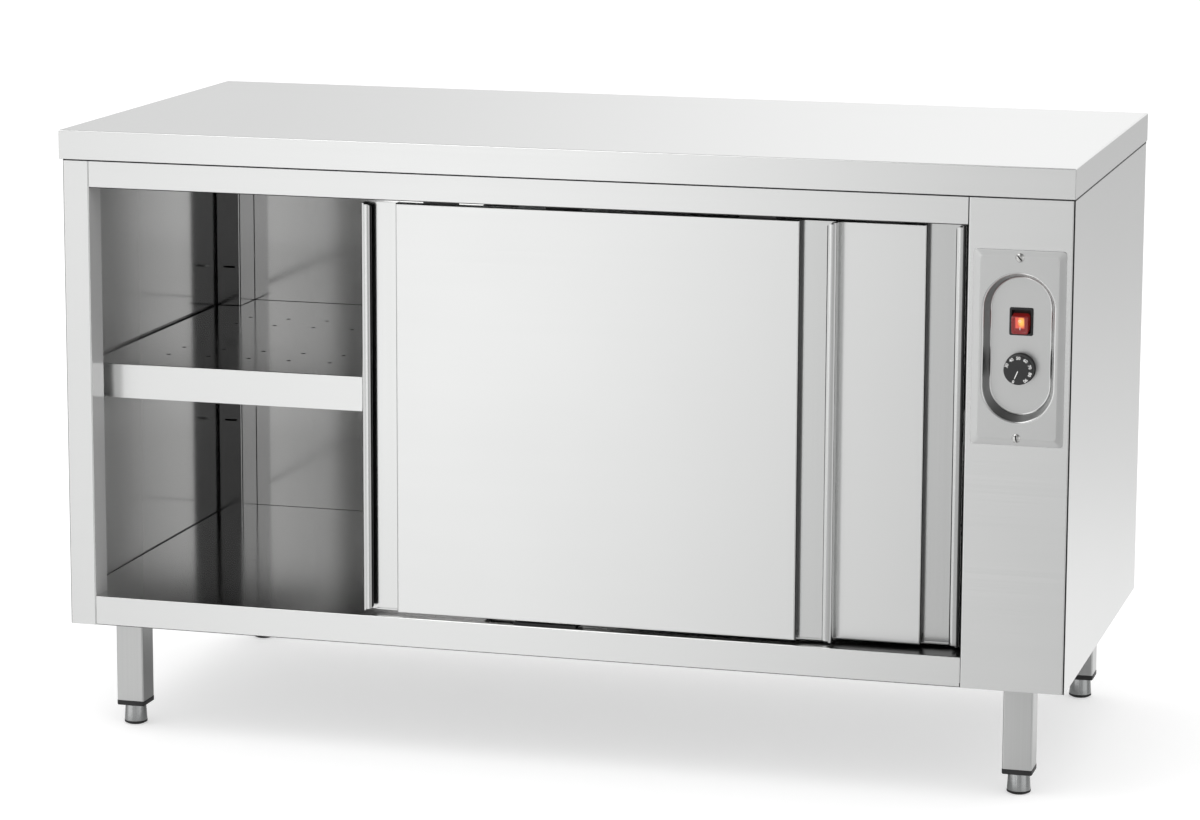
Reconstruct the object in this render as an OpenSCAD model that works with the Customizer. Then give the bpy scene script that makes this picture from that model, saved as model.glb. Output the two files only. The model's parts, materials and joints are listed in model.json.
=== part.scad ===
// Heated plate cabinet of folded stainless steel. Two top-hung sliding doors, one shelf, a control
// column on the right with a fan heater behind it, and four legs with levelling feet.
// Millimetres. X runs to the right, Y to the back and Z up. The origin is on the floor, below the
// middle of the worktop.

/* [Cabinet] */
// Width over the worktop
cab_w = 1400; // [1300:10:1600]
// Depth over the worktop
cab_d = 650; // [620:5:750]
// Height over the worktop
cab_h = 850; // [840:1:900]
// Thickness of the folded sheet
sheet = 1.2; // [0.8:0.1:1.6]
// Inner radius of a fold
fold_r = 1; // [0.5:0.1:1.5]
// Height of the worktop's edge
edge_h = 40; // [36:1:50]
// How far the worktop stands out over the front
over_front = 10; // [4:1:16]
// How far the worktop stands out over the back
over_back = 2; // [0:1:6]
// How far the worktop stands out over each side
over_side = 1; // [0:1:4]
// Height of the body's underside over the floor
body_z = 155; // [130:1:190]
// Height of the rail under the doors
bottom_rail_h = 41; // [38:1:60]
// Height of the rail over the doors
top_rail_h = 40; // [38:1:50]
// Width of the stile at the left of the doors
stile_w = 38; // [34:1:60]
// Depth of the stile's and the column's fold beside the doors
return_d = 43; // [30:1:46]
// Width of the control column
column_w = 139; // [136:1:170]

/* [Doors] */
// How far the closed doors overlap in the middle
door_overlap = 93; // [70:1:130]
// Depth of a door from the lip's front to the door's back
door_t = 17; // [16:0.5:18]
// Distance from the front door's face to the rear door's face
door_pitch = 23; // [22:0.5:24]
// How far the front door's face stands behind the rails
door_set = 10; // [9:0.5:11]
// Width of the rolled lip at each side of a door
lip_w = 14; // [11:0.5:18]
// Width of the finger groove between lip and raised panel
grip_w = 36; // [28:1:44]
// Gap under a door
door_gap_low = 4.5; // [3.5:0.5:6]
// Gap over a door
door_gap_top = 6; // [4:0.5:8]
// Gap between a fully closed door and the side of the opening
door_stop_gap = 2; // [1:0.5:4]
// How far the front door stands open, from its left stop
front_door_open = 387; // [0:1:400]
// How far the rear door stands open, from its right stop
rear_door_open = 8; // [0:1:400]

/* [Door hanging gear] */
// Radius of a door roller over its rims
roller_r = 11; // [10:0.5:12]
// Radius at the bottom of the roller's groove
groove_r = 8.6; // [8:0.1:9]
// Width of a roller
roller_w = 8; // [7.5:0.5:8]
// Radius of the roller axle
axle_r = 2.5; // [2:0.25:3]
// Thickness of a hanger plate
hanger_t = 2; // [1.5:0.5:2.5]
// Width of a hanger plate
hanger_w = 50; // [40:1:70]
// Distance from a door's edge to the nearer hanger
hanger_in = 110; // [90:5:180]
// Length of the bottom guide
guide_l = 88; // [80:1:100]

/* [Shelf] */
// Height of the shelf's folded edge
shelf_h = 48; // [30:1:60]
// Height of the lowest slot for the shelf clips
slot_z = 339; // [320:1:360]
// Distance from slot to slot
slot_pitch = 118; // [90:1:130]
// Which slot carries the shelf, counted from below
shelf_slot = 1; // [0:1:2]
// Diameter of the shelf's air holes
air_hole = 7; // [5:0.5:10]
// Distance between the air holes
air_pitch = 60; // [50:1:90]

/* [Controls] */
// Width of the pressed control plate
plate_w = 127; // [125:1:130]
// Height of the pressed control plate
plate_h = 257; // [245:1:290]
// Height of the middle of the control plate
plate_z = 612.5; // [560:0.5:640]
// How far the plate's face is raised from the column
plate_raise = 3; // [2:0.5:5]
// Width of the recess at the plate's face
recess_w = 101; // [96:1:104]
// Straight length of the recess's sides
recess_l = 91; // [86:1:110]
// Depth of the recess from the plate's face
recess_d = 22; // [16:0.5:26]
// Draft of the recess's wall, from face to floor
recess_draft = 7.5; // [4:0.5:10]
// Height of the knob's axis below the plate's middle
knob_drop = 29.5; // [26:0.5:36]
// Diameter of the knob
knob_dia = 41; // [34:1:44]
// Depth of the knob
knob_d = 18; // [14:0.5:20]
// Height of the switch's middle over the plate's middle
switch_rise = 32; // [30:0.5:40]
// Tilt of the rocker at rest, top end out
rocker_tilt = 10; // [6:1:11]

/* [Legs] */
// Side of a square leg
leg_s = 40; // [36:1:45]
// Wall of a leg
leg_wall = 1.5; // [1:0.25:2.5]
// Distance from the body's side to a leg
leg_in_x = 48; // [46:1:60]
// Distance from the body's front to a front leg
leg_in_front = 46; // [44:1:90]
// Distance from the body's back to a rear leg
leg_in_back = 30; // [28:1:90]
// Height of a levelling foot below the leg cap, wound in
foot_h = 29; // [25:1:40]
// Height of the leg cap's rim
cap_h = 7; // [5:1:10]
// Diameter of the threaded stem
stem_dia = 10; // [8:1:12]

/* [Heater] */
// Side of the square fan frame
fan_s = 120; // [110:1:130]
// Depth of the fan frame
fan_d = 38; // [36:1:42]
// Height of the fan's axis
fan_z = 560; // [540:5:580]
// Depth of the heater box, from the partition
box_d = 99; // [90:1:105]
// Radius of the heating tube
tube_r = 4.25; // [3:0.25:5]

/* [Hidden] */

// Clearances
fit = 0.3;              // between sheets that meet, and between parts that move past each other
turn_fit = 0.05;        // radial clearance of an axle in its bore
bend_steps = 4;         // flats in one fold

// The body's faces
half_w = cab_w / 2;
half_d = cab_d / 2;
side_x = half_w - over_side;
wall_x = side_x - sheet;
front_y = -half_d + over_front;
back_y = half_d - over_back;
inner_back_y = back_y - sheet;          // front face of the side panels' rear flanges
chamber_back_y = inner_back_y - sheet;  // front face of the back panel
body_top = cab_h - edge_h;
floor_z = body_z + bottom_rail_h;
under_floor_z = floor_z - sheet;
top_flange_z = body_top - sheet;
rail_return = 60;                       // depth of the top rail's upper flange
rail_end = 24;                          // from the body's front and back to the base rails
base_rail_h = 36;
return_y = front_y + return_d;

// The door opening
open_l = -side_x + stile_w;
open_r = side_x - column_w;
open_top = body_top - top_rail_h;
open_mid = (open_l + open_r) / 2;

// Doors
door_w = (open_r - open_l + door_overlap) / 2;
door_z0 = floor_z + door_gap_low;
door_z1 = open_top - door_gap_top;
front_door_x = open_l + door_stop_gap + front_door_open;
rear_door_x = open_r - door_stop_gap - rear_door_open - door_w;
front_door_y = front_y + door_set;
rear_door_y = front_door_y + door_pitch;
panel_in = lip_w + grip_w;              // from the door's edge to the raised panel
panel_depth = door_t - sheet;           // from the raised face to the back sheet
lip_fold = 7;                           // free edge of the lip, folded back
lip_r = 3.5;                            // inner radius of the rolled lip
lip_corner = 5;                         // rounding of the lip's ends
guide_line = door_t - 7.5;              // from the door's face to the line of roller and guide
guide_slot = 6;                         // slot under a door, for the guide's fin

// Hanging gear
roller_z = open_top + 20;
bead_r = 1.2;
hanger_back = panel_depth;
hanger_low = 40;                        // how far a hanger reaches down inside the door
track_plate = 1.5;

// Bottom guide
fin_t = 4;
fin_l = 43;
fin_z = floor_z + 14;
guide_base = 2;
guide_x = open_mid - 6.5;

// Shelf
clip_drop_to_slot = 11;                 // from the ledge to the middle of its slot
shelf_z0 = slot_z + shelf_slot * slot_pitch + clip_drop_to_slot;
shelf_x0 = -wall_x + 8;
shelf_x1 = open_r - 4;
shelf_y0 = rear_door_y + door_t + 10;
upright_w = 36;
upright_d = 62;
upright_gap = 4;
upright_y = chamber_back_y - upright_d;
shelf_y1 = upright_y - 3.6;
slot_w = 19;
slot_t = 3;
clip_w = slot_w - 3;
tongue = slot_t / 2 - fit;
tongue_l = 6;
clip_reach = 24;
clip_t = 1.5;
clip_drop = 24;                         // from the ledge to the clip's lower end
clip_slot_y = front_y + 80;             // line of the slots in the partition
upright_mid = wall_x - upright_gap - upright_w / 2;

// Controls
column_mid = (open_r + wall_x) / 2;
face_y = front_y - plate_raise;
recess_floor_y = face_y + recess_d;
plate_t = 1.2;
knob_z = plate_z - knob_drop;
switch_z = plate_z + switch_rise;
spindle_r = 3;
knob_back_y = recess_floor_y - 0.6;
thermo_front_y = recess_floor_y + plate_t;
plate_bevel = 7;
screw_z = 118.5;
rocker_w = 23;
rocker_h = 26;
rocker_proud = 15;
bezel_t = 2.2;
rocker_pivot_y = recess_floor_y + 4;
pivot_r = 1.5;

// Legs and feet
leg_z0 = foot_h + cap_h;
leg_x = side_x - leg_in_x - leg_s / 2;
leg_front_y = front_y + leg_in_front + leg_s / 2;
leg_back_y = back_y - leg_in_back - leg_s / 2;
base_rail_w = leg_s + 20;
base_rail_z1 = under_floor_z;
leg_z1 = base_rail_z1 - sheet;
pad_h = 5;
foot_r = 16;
plug_l = 25;
stem_out = 39;                          // from the leg's lower end to the stem's upper end

// Heater
part_x = open_r + sheet;                // right face of the partition
gland_x = wall_x - 19;
gland_y = chamber_back_y - 100;
gland_r = 10;
fan_y = gland_y - 160;
box_y = fan_y;
box_edge = 20;                          // from the fan frame to the heater box's top
run_gap = 36;
runs = 4;
run_half = 80;
run_y0 = box_y - run_half;
run_y1 = box_y + run_half;
element_x = part_x + 51;
element_z = fan_z - 270;
element_turn = 14;
box_size_y = 2 * run_half + 100;
box_top = fan_z + fan_s / 2 + box_edge;
box_low = element_z - 50;
box_size_z = box_top - box_low;
box_z = (box_top + box_low) / 2;
motor_l = 14;
motor_r = 23;
hub_l = 18;
hub_back = motor_l + 1;                 // from the frame's right face to the hub's right end

// ---- Helpers -------------------------------------------------------------------------------

function unit(v) = v / norm(v);
function side_of(v) = [-v[1], v[0]];
function left_turn(a, b, c) = cross(b - a, c - b) > 0;

// The points of a path's corner b, rounded to radius r
function corner(a, b, c, r) =
    let (u = unit(a - b), v = unit(c - b), half = acos(u * v) / 2,
         o = b + unit(u + v) * r / sin(half), p = b + u * r / tan(half),
         start = atan2(p[1] - o[1], p[0] - o[0]),
         sweep = (left_turn(a, b, c) ? 1 : -1) * (180 - 2 * half))
    [for (i = [0:bend_steps]) o + r * [cos(start + sweep * i / bend_steps),
                                       sin(start + sweep * i / bend_steps)]];

// The path moved to its left by t, with mitred corners
function beside(p, t) = [for (i = [0:len(p) - 1])
    let (u = i == 0 ? side_of(unit(p[1] - p[0])) : side_of(unit(p[i] - p[i - 1])),
         v = i == len(p) - 1 ? u : side_of(unit(p[i + 1] - p[i])))
    p[i] + t * (u + v) / (1 + u * v)];

// The path with its corners rounded: radius r on left turns and q on right turns
function rounded(p, r, q) = [for (i = [0:len(p) - 1])
    each (i == 0 || i == len(p) - 1 ? [p[i]]
        : corner(p[i - 1], p[i], p[i + 1], left_turn(p[i - 1], p[i], p[i + 1]) ? r : q))];

function backwards(p) = [for (i = [len(p) - 1:-1:0]) p[i]];

// Cross-section of a folded sheet: path is its right-hand face, the metal lies to the path's left
module folded(path, t = sheet, r = fold_r) {
    polygon(concat(rounded(path, r + t, r), backwards(rounded(beside(path, t), r, r + t))));
}

function arc(x, y, r, from, to, steps = bend_steps) =
    [for (i = [0:steps]) [x + r * cos(from + (to - from) * i / steps),
                          y + r * sin(from + (to - from) * i / steps)]];

// Outline of a rectangle around the origin with four round corners
function round_rect(w, h, r) = concat(
    arc(w / 2 - r, h / 2 - r, r, 0, 90), arc(-w / 2 + r, h / 2 - r, r, 90, 180),
    arc(-w / 2 + r, -h / 2 + r, r, 180, 270), arc(w / 2 - r, -h / 2 + r, r, 270, 360));

// Extrudes an outline drawn in Y and Z along X
module along_x(x0, x1) {
    translate([x0, 0, 0]) rotate([90, 0, 90]) linear_extrude(x1 - x0) children();
}

// Extrudes an outline drawn in X and Z along Y
module along_y(y0, y1) {
    translate([0, y1, 0]) rotate([90, 0, 0]) linear_extrude(y1 - y0) children();
}

// Extrudes an outline drawn in X and Y along Z
module along_z(z0, z1) {
    translate([0, 0, z0]) linear_extrude(z1 - z0) children();
}

module block(x0, x1, y0, y1, z0, z1) {
    translate([x0, y0, z0]) cube([x1 - x0, y1 - y0, z1 - z0]);
}

// A cylinder along X, from x0 to x1
module rod_x(x0, x1, y, z, r, fn = 48) {
    translate([x0, y, z]) rotate([0, 90, 0]) cylinder(h = x1 - x0, r = r, $fn = fn);
}

// A cylinder along Y, from y0 to y1
module rod_y(x, y0, y1, z, r, fn = 48) {
    translate([x, y1, z]) rotate([90, 0, 0]) cylinder(h = y1 - y0, r = r, $fn = fn);
}

// Outline of a tray's side: width w, height h, with round upper corners
module tray_side(w, h, r) {
    polygon(concat([[-w / 2, 0], [w / 2, 0]], arc(w / 2 - r, h - r, r, 0, 90),
                   arc(-w / 2 + r, h - r, r, 90, 180)));
}

module tray_solid(w, d, h, r) {
    intersection() {
        along_x(-w / 2, w / 2) tray_side(d, h, r);
        along_y(-d / 2, d / 2) tray_side(w, h, r);
    }
}

// A folded tray, open below, around the Z axis. lip is the width of the lower edge's inward fold.
module tray(w, d, h, lip = 0) {
    low = lip > 0 ? sheet : -1;
    difference() {
        tray_solid(w, d, h, fold_r + sheet);
        translate([0, 0, low]) tray_solid(w - 2 * sheet, d - 2 * sheet, h - sheet - low, fold_r);
        if (lip > 0) {
            block(-w / 2 + lip, w / 2 - lip, -d / 2 + lip, d / 2 - lip, -1, sheet + 1);
        }
    }
}

// ---- Worktop and body ----------------------------------------------------------------------

module worktop() {
    color("#e4e6e6") translate([0, 0, body_top]) tray(cab_w, cab_d, edge_h, 15);
}

// Two hat channels under the worktop's skin
module worktop_stiffeners() {
    flange = 15;
    half_hat = 20;
    hat_h = edge_h - 6;
    top = cab_h - sheet;
    color("#b9bcbc") for (y = [-0.23 * cab_d, 0.23 * cab_d]) {
        along_x(-half_w + 40, half_w - 40) translate([y, top]) folded([
            [-half_hat - flange, -sheet], [-half_hat, -sheet], [-half_hat, -hat_h],
            [half_hat, -hat_h], [half_hat, -sheet], [half_hat + flange, -sheet]]);
    }
}

side_flange = 22;

// Top and bottom flanges of the left side panel
module side_flanges() {
    for (z = [body_z, top_flange_z]) {
        block(-wall_x - sheet / 2, -side_x + side_flange, return_y + 2, chamber_back_y - 22, z, z + sheet);
    }
}

module left_side_panel() {
    color("#dcdede") difference() {
        union() {
            along_z(body_z, body_top) folded([
                [-side_x + side_flange, back_y], [-side_x, back_y], [-side_x, front_y],
                [open_l, front_y], [open_l, return_y], [-wall_x + fit, return_y]]);
            side_flanges();
        }
        for (i = [0:2]) {
            translate([-upright_mid, return_y, slot_z + i * slot_pitch])
                cube([slot_w, 8, slot_t], center = true);
        }
    }
}

module right_side_panel() {
    color("#dcdede") mirror([1, 0, 0]) {
        along_z(body_z, body_top) folded([
            [-side_x + side_flange, back_y], [-side_x, back_y], [-side_x, front_y]]);
        side_flanges();
    }
}

module back_panel() {
    flange = 21;
    half = wall_x - fold_r - fit / 2;
    color("#cfd2d2") along_x(-half, half) folded([
        [inner_back_y - flange, body_z], [inner_back_y, body_z],
        [inner_back_y, body_top], [inner_back_y - flange, body_top]]);
}

// The chamber's floor, folded down at the front into the rail under the doors
module floor_pan() {
    lip = 20;
    color("#dfe1e1") difference() {
        along_x(-wall_x + fit, wall_x - fit) folded([
            [chamber_back_y, floor_z - 22], [chamber_back_y, floor_z], [front_y, floor_z],
            [front_y, body_z], [front_y + lip, body_z]]);
        block(-half_w, open_l + fit / 2, -half_d, return_y + fit, body_z - 1, floor_z + 1);
        block(open_r - fit / 2, half_w, -half_d, return_y + fit, body_z - 1, floor_z + 1);
        translate([gland_x, gland_y, floor_z]) cylinder(h = 20, r = gland_r + 0.2, center = true, $fn = 48);
    }
}

// Two channels under the floor, one along each side, that hold the legs
module base_rails() {
    color("#b9bcbc") for (x = [-leg_x, leg_x]) {
        along_y(front_y + rail_end, chamber_back_y - rail_end) translate([x, base_rail_z1]) folded([
            [base_rail_w / 2, -base_rail_h], [base_rail_w / 2, 0],
            [-base_rail_w / 2, 0], [-base_rail_w / 2, -base_rail_h]]);
    }
}

module top_rail() {
    color("#e2e4e4") along_x(open_l + fit / 2, open_r - fit / 2) folded([
        [front_y + rail_return, body_top], [front_y, body_top], [front_y, open_top],
        [front_y + door_set - 2, open_top]]);
}

// ---- Control column and the wall behind it ---------------------------------------------------

// A stadium-shaped cone frustum whose axis runs along Y, from radius r0 at y0 to r1 at y1
module stadium(y0, y1, r0, r1) {
    translate([column_mid, y0, plate_z]) {
        for (z = [-recess_l / 2, recess_l / 2]) {
            translate([0, 0, z]) rotate([-90, 0, 0]) cylinder(h = y1 - y0, r1 = r0, r2 = r1, $fn = 64);
        }
        translate([0, 0, -recess_l / 2]) linear_extrude(recess_l)
            polygon([[-r0, 0], [r0, 0], [r1, y1 - y0], [-r1, y1 - y0]]);
    }
}

module control_column() {
    color("#cfd1d0") difference() {
        union() {
            along_z(body_z, body_top) folded([
                [open_r + 20, return_y], [open_r, return_y], [open_r, front_y],
                [wall_x - fit, front_y], [wall_x - fit, front_y + 20]]);
            for (z = [body_z, top_flange_z]) {
                block(open_r + sheet / 2, wall_x - fit - sheet / 2, front_y + sheet / 2,
                      return_y - sheet - fit, z, z + sheet);
            }
        }
        stadium(front_y - 1, front_y + 3, recess_w / 2 + 1.7, recess_w / 2 + 1.7);
        for (z = [-screw_z, screw_z]) {
            rod_y(column_mid, front_y - 1, front_y + 3, plate_z + z, 2.3);
        }
    }
}

// The chamber's right wall, with an outlet grille at the fan and an inlet grille below it
module partition_wall() {
    flange = 14;
    color("#cfd2d2") difference() {
        union() {
            along_z(floor_z, top_flange_z - fold_r) folded([
                [open_r + flange, chamber_back_y - fit], [open_r, chamber_back_y - fit],
                [open_r, return_y + fit], [open_r + flange, return_y + fit]]);
        }
        for (i = [0:6]) {
            half = sqrt(50 * 50 - pow((i - 3) * 14, 2));
            block(open_r - 1, part_x + 1, fan_y - half, fan_y + half,
                  fan_z + (i - 3) * 14 - 3, fan_z + (i - 3) * 14 + 3);
        }
        for (i = [0:7]) {
            block(open_r - 1, part_x + 1, box_y - 80, box_y + 80,
                  element_z + i * 16 - 3, element_z + i * 16 + 3);
        }
        for (i = [0:2]) {
            translate([open_r, clip_slot_y, slot_z + i * slot_pitch])
                cube([8, slot_w, slot_t], center = true);
        }
    }
}

// ---- Shelf and what carries it ---------------------------------------------------------------

// A slotted channel in a rear corner; side is -1 for the left one and 1 for the right one
module upright(side) {
    middle = side < 0 ? -upright_mid : open_r - upright_gap - upright_w / 2;
    color("#c6c9c9") difference() {
        along_z(floor_z, open_top + top_rail_h - 10) translate([middle, upright_y]) folded([
            [-upright_w / 2, upright_d], [-upright_w / 2, 0],
            [upright_w / 2, 0], [upright_w / 2, upright_d]]);
        for (i = [0:2]) {
            translate([middle, upright_y, slot_z + i * slot_pitch])
                cube([slot_w, 8, slot_t], center = true);
        }
    }
}

module shelf() {
    w = shelf_x1 - shelf_x0;
    d = shelf_y1 - shelf_y0;
    columns = floor((w - 140) / air_pitch);
    color("#d6d8d8") translate([(shelf_x0 + shelf_x1) / 2, (shelf_y0 + shelf_y1) / 2, shelf_z0])
    difference() {
        tray(w, d, shelf_h, 15);
        for (i = [0:columns], y = [-d / 2 + 90, -d / 2 + 90 + air_pitch, d / 2 - 90 - air_pitch, d / 2 - 90]) {
            translate([(i - columns / 2) * air_pitch, y, shelf_h])
                cylinder(h = 8, d = air_hole, center = true, $fn = 12);
        }
    }
}

// A clip on a wall at Y = 0: a tongue through the slot and a ledge that reaches out by reach
module clip(reach) {
    along_x(-clip_w / 2, clip_w / 2) {
        polygon([[0, -clip_drop_to_slot - tongue], [tongue_l, -clip_drop_to_slot - tongue],
                 [tongue_l, -clip_drop_to_slot + tongue], [0, -clip_drop_to_slot + tongue], [0, 0],
                 [-reach, 0], [-reach, -clip_t], [-clip_t, -clip_t], [-clip_t, -clip_drop],
                 [0, -clip_drop]]);
    }
}

module shelf_clips() {
    color("#a9adad") {
        translate([-upright_mid, upright_y, shelf_z0]) clip(clip_reach);
        translate([open_r - upright_gap - upright_w / 2, upright_y, shelf_z0]) clip(clip_reach);
        translate([-upright_mid, return_y, shelf_z0]) rotate([0, 0, 180])
            clip(shelf_y0 - return_y + clip_reach - 4);
        translate([open_r, clip_slot_y, shelf_z0]) rotate([0, 0, -90]) clip(clip_reach);
    }
}

// ---- Doors and their hanging gear ------------------------------------------------------------

// One rail of the track, for the door whose face is at y: web, ledge and round bead
module track_rail(y) {
    bead_z = roller_z - groove_r - fit - bead_r;
    line = y + guide_line;
    translate([line, bead_z]) circle(r = bead_r, $fn = 24);
    translate([line - bead_r, open_top + 6]) square([2 * bead_r, bead_z - open_top - 6]);
    translate([y, open_top + 6]) square([guide_line + bead_r, track_plate]);
    translate([y, open_top + 6]) square([track_plate, top_flange_z - open_top - 6]);
}

module door_track() {
    color("#aeb2b2") along_x(open_l + 1, open_r - 1) union() {
        track_rail(front_door_y);
        track_rail(rear_door_y);
        translate([front_door_y, top_flange_z - track_plate])
            square([door_pitch + guide_line + 3, track_plate]);
    }
}

module bottom_guide() {
    color("#1c1c1d") difference() {
        union() {
            block(guide_x, guide_x + guide_l, front_door_y + 2, rear_door_y + door_t + 1,
                  floor_z, floor_z + guide_base);
            for (y = [front_door_y, rear_door_y]) {
                along_x(open_mid + 20 - fin_l / 2, open_mid + 20 + fin_l / 2) polygon([
                    [y + guide_line - fin_t / 2, floor_z + 1], [y + guide_line + fin_t / 2, floor_z + 1],
                    [y + guide_line + fin_t / 2, fin_z - 1], [y + guide_line + 1, fin_z],
                    [y + guide_line - 1, fin_z], [y + guide_line - fin_t / 2, fin_z - 1]]);
            }
        }
        guide_screws_at() translate([0, 0, -1]) cylinder(h = guide_base + 2, r1 = 1.9, r2 = 5.1, $fn = 32);
    }
}

module guide_screws_at() {
    middle_y = (front_door_y + rear_door_y + guide_line * 2) / 2;
    for (x = [guide_x + 9, guide_x + guide_l - 20]) {
        translate([x, middle_y, floor_z]) children();
    }
}

module guide_screws() {
    color("#c9cccc") guide_screws_at() difference() {
        translate([0, 0, 0.1]) cylinder(h = guide_base - 0.3, r1 = 2, r2 = 3.7, $fn = 32);
        translate([0, 0, guide_base]) cube([9, 1, 1.4], center = true);
        translate([0, 0, guide_base]) cube([1, 9, 1.4], center = true);
    }
}

// A door's back sheet with the finger lip folded forward at each side
module door_frame(x, y) {
    w = door_w;
    color("#d4d7d7") translate([x, y, 0]) difference() {
        union() {
            along_z(door_z0, door_z1) folded([
                [w - lip_w, lip_fold], [w - lip_w, 0], [w, 0], [w, door_t], [0, door_t], [0, 0],
                [lip_w, 0], [lip_w, lip_fold]], sheet, lip_r);
            block(lip_w + 2, w - lip_w - 2, guide_line + guide_slot / 2, door_t - sheet / 2,
                  door_z0, door_z0 + sheet);
        }
        for (side = [0, 1], end = [0, 1]) {
            translate([side * w, 0, end == 0 ? door_z0 : door_z1]) mirror([side, 0, 0])
                mirror([0, 0, end]) lip_corner_cut();
        }
    }
}

// Rounds the free corner of a lip at the door's lower left
module lip_corner_cut() {
    along_y(-1, lip_fold + 1) polygon(concat(
        [[lip_w + 1, -1], [lip_w + 1, lip_corner]],
        arc(lip_w - lip_corner, lip_corner + 2, lip_corner, 0, -90, 6),
        [[lip_r + sheet, 2], [lip_r + sheet, -1]]));
}

// A door's raised front panel: a tray with slots for the guide's fin and the hangers
module door_panel(x, y) {
    w = door_w - 2 * panel_in;
    h = door_z1 - door_z0;
    fin_room = fin_z - door_z0 + 3;
    color("#e6e8e8") translate([x + panel_in, y, door_z0]) difference() {
        translate([w / 2, panel_depth, h / 2]) rotate([90, 0, 0]) tray(w, h, panel_depth);
        block(-1, w + 1, guide_line - guide_slot / 2, door_t, -1, fin_room);
        block(sheet, w - sheet, hanger_back - hanger_t - 1, door_t, h - sheet - 1, h + 1);
    }
}

function hanger_places(x) = [x + hanger_in, x + door_w - hanger_in];

// Two hanger plates inside a door, each with the axle of its roller
module door_hangers(x, y) {
    color("#9da1a1") for (at = hanger_places(x)) {
        plate_y = y + hanger_back - hanger_t;
        roller_y0 = y + guide_line - roller_w / 2;
        difference() {
            along_y(plate_y, y + hanger_back) translate([at, 0]) polygon(concat(
                [[-hanger_w / 2, door_z1 - hanger_low], [hanger_w / 2, door_z1 - hanger_low],
                 [hanger_w / 2, open_top + 4]],
                arc(0, roller_z, 9, 0, 180, 8), [[-hanger_w / 2, open_top + 4]]));
            rod_y(at, plate_y - 1, y + hanger_back + 1, roller_z, axle_r - 0.5);
        }
        rod_y(at, plate_y, y + hanger_back, roller_z, axle_r - 0.5);
        rod_y(at, roller_y0 - fit, plate_y, roller_z, axle_r);
        rod_y(at, roller_y0 - fit - 1.4, roller_y0 - fit, roller_z, axle_r + 1.8);
    }
}

// A grooved door roller around an axle along Y
module door_roller(x, y) {
    half = roller_w / 2;
    color("#e9e7df") translate([x, y + guide_line, roller_z]) rotate([90, 0, 0]) rotate_extrude($fn = 64)
        polygon([[axle_r + turn_fit, -half], [roller_r - 0.6, -half], [roller_r, -half + 0.6],
                 [roller_r, -2.6], [groove_r + 0.5, -1.5], [groove_r, -1], [groove_r, 1],
                 [groove_r + 0.5, 1.5], [roller_r, 2.6], [roller_r, half - 0.6],
                 [roller_r - 0.6, half], [axle_r + turn_fit, half]]);
}

// ---- Controls --------------------------------------------------------------------------------

// A raised rectangle with sloping sides, standing out from y towards the front
module raised_plate(y, w, h) {
    face_w = w - 2 * plate_bevel;
    face_h = h - 2 * plate_bevel;
    translate([column_mid, y, plate_z]) intersection() {
        translate([0, 0, -h / 2]) linear_extrude(h)
            polygon([[-w / 2, 0], [w / 2, 0], [face_w / 2, -plate_raise], [-face_w / 2, -plate_raise]]);
        along_x(-w / 2, w / 2)
            polygon([[0, -h / 2], [0, h / 2], [-plate_raise, face_h / 2], [-plate_raise, -face_h / 2]]);
    }
}

module control_plate() {
    r = recess_w / 2;
    floor_r = r - recess_draft;
    slope = recess_draft / recess_d;
    color("#c8c9c7") difference() {
        union() {
            difference() {
                raised_plate(front_y, plate_w, plate_h);
                raised_plate(front_y + plate_t, plate_w, plate_h);
            }
            stadium(face_y, recess_floor_y + plate_t, r + plate_t, floor_r + plate_t - slope * plate_t);
        }
        stadium(face_y - 1, recess_floor_y, r + slope, floor_r);
        block(column_mid - 13.9, column_mid + 13.9, recess_floor_y - 1, recess_floor_y + 3,
              switch_z - 16.7, switch_z + 16.7);
        rod_y(column_mid, recess_floor_y - 1, recess_floor_y + 3, knob_z, spindle_r + 1.2);
        for (z = [-screw_z, screw_z]) {
            rod_y(column_mid, face_y - 1, face_y + 3, plate_z + z, 2.3);
        }
    }
}

// Two slotted round-head screws through the control plate and the column
module plate_screws() {
    head_r = 5.7;
    head_h = 3;
    ball_r = (head_r * head_r + head_h * head_h) / (2 * head_h);
    color("#c4c7c7") for (z = [-screw_z, screw_z]) {
        translate([column_mid, face_y, plate_z + z]) rotate([90, 0, 0]) difference() {
            union() {
                intersection() {
                    translate([0, 0, head_h - ball_r]) sphere(r = ball_r, $fn = 48);
                    cylinder(h = head_h, r = head_r, $fn = 48);
                }
                translate([0, 0, -plate_raise - 10]) cylinder(h = plate_raise + 10.5, r = 2, $fn = 32);
            }
            rotate([0, 0, 35]) translate([0, 0, head_h]) cube([2 * head_r + 2, 1.3, 2.6], center = true);
        }
    }
}

module switch_housing() {
    half_pocket_w = rocker_w / 2 + 0.4;
    half_pocket_h = rocker_h / 2 + 1.7;
    color("#161617") translate([column_mid, recess_floor_y, switch_z]) difference() {
        union() {
            along_y(-bezel_t, 0) polygon(round_rect(31.2, 36.6, 2));
            block(-13.7, 13.7, -1, 25, -16.5, 16.5);
            for (x = [-7, 7], z = [-8, 8]) {
                block(x - 0.4, x + 0.4, 25, 33, z - 3.15, z + 3.15);
            }
        }
        block(-half_pocket_w, half_pocket_w, -bezel_t - 1, 12, -half_pocket_h, half_pocket_h);
        rod_x(-half_pocket_w - 1.1, half_pocket_w + 1.1, rocker_pivot_y - recess_floor_y, 0,
              pivot_r + turn_fit);
    }
}

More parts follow.
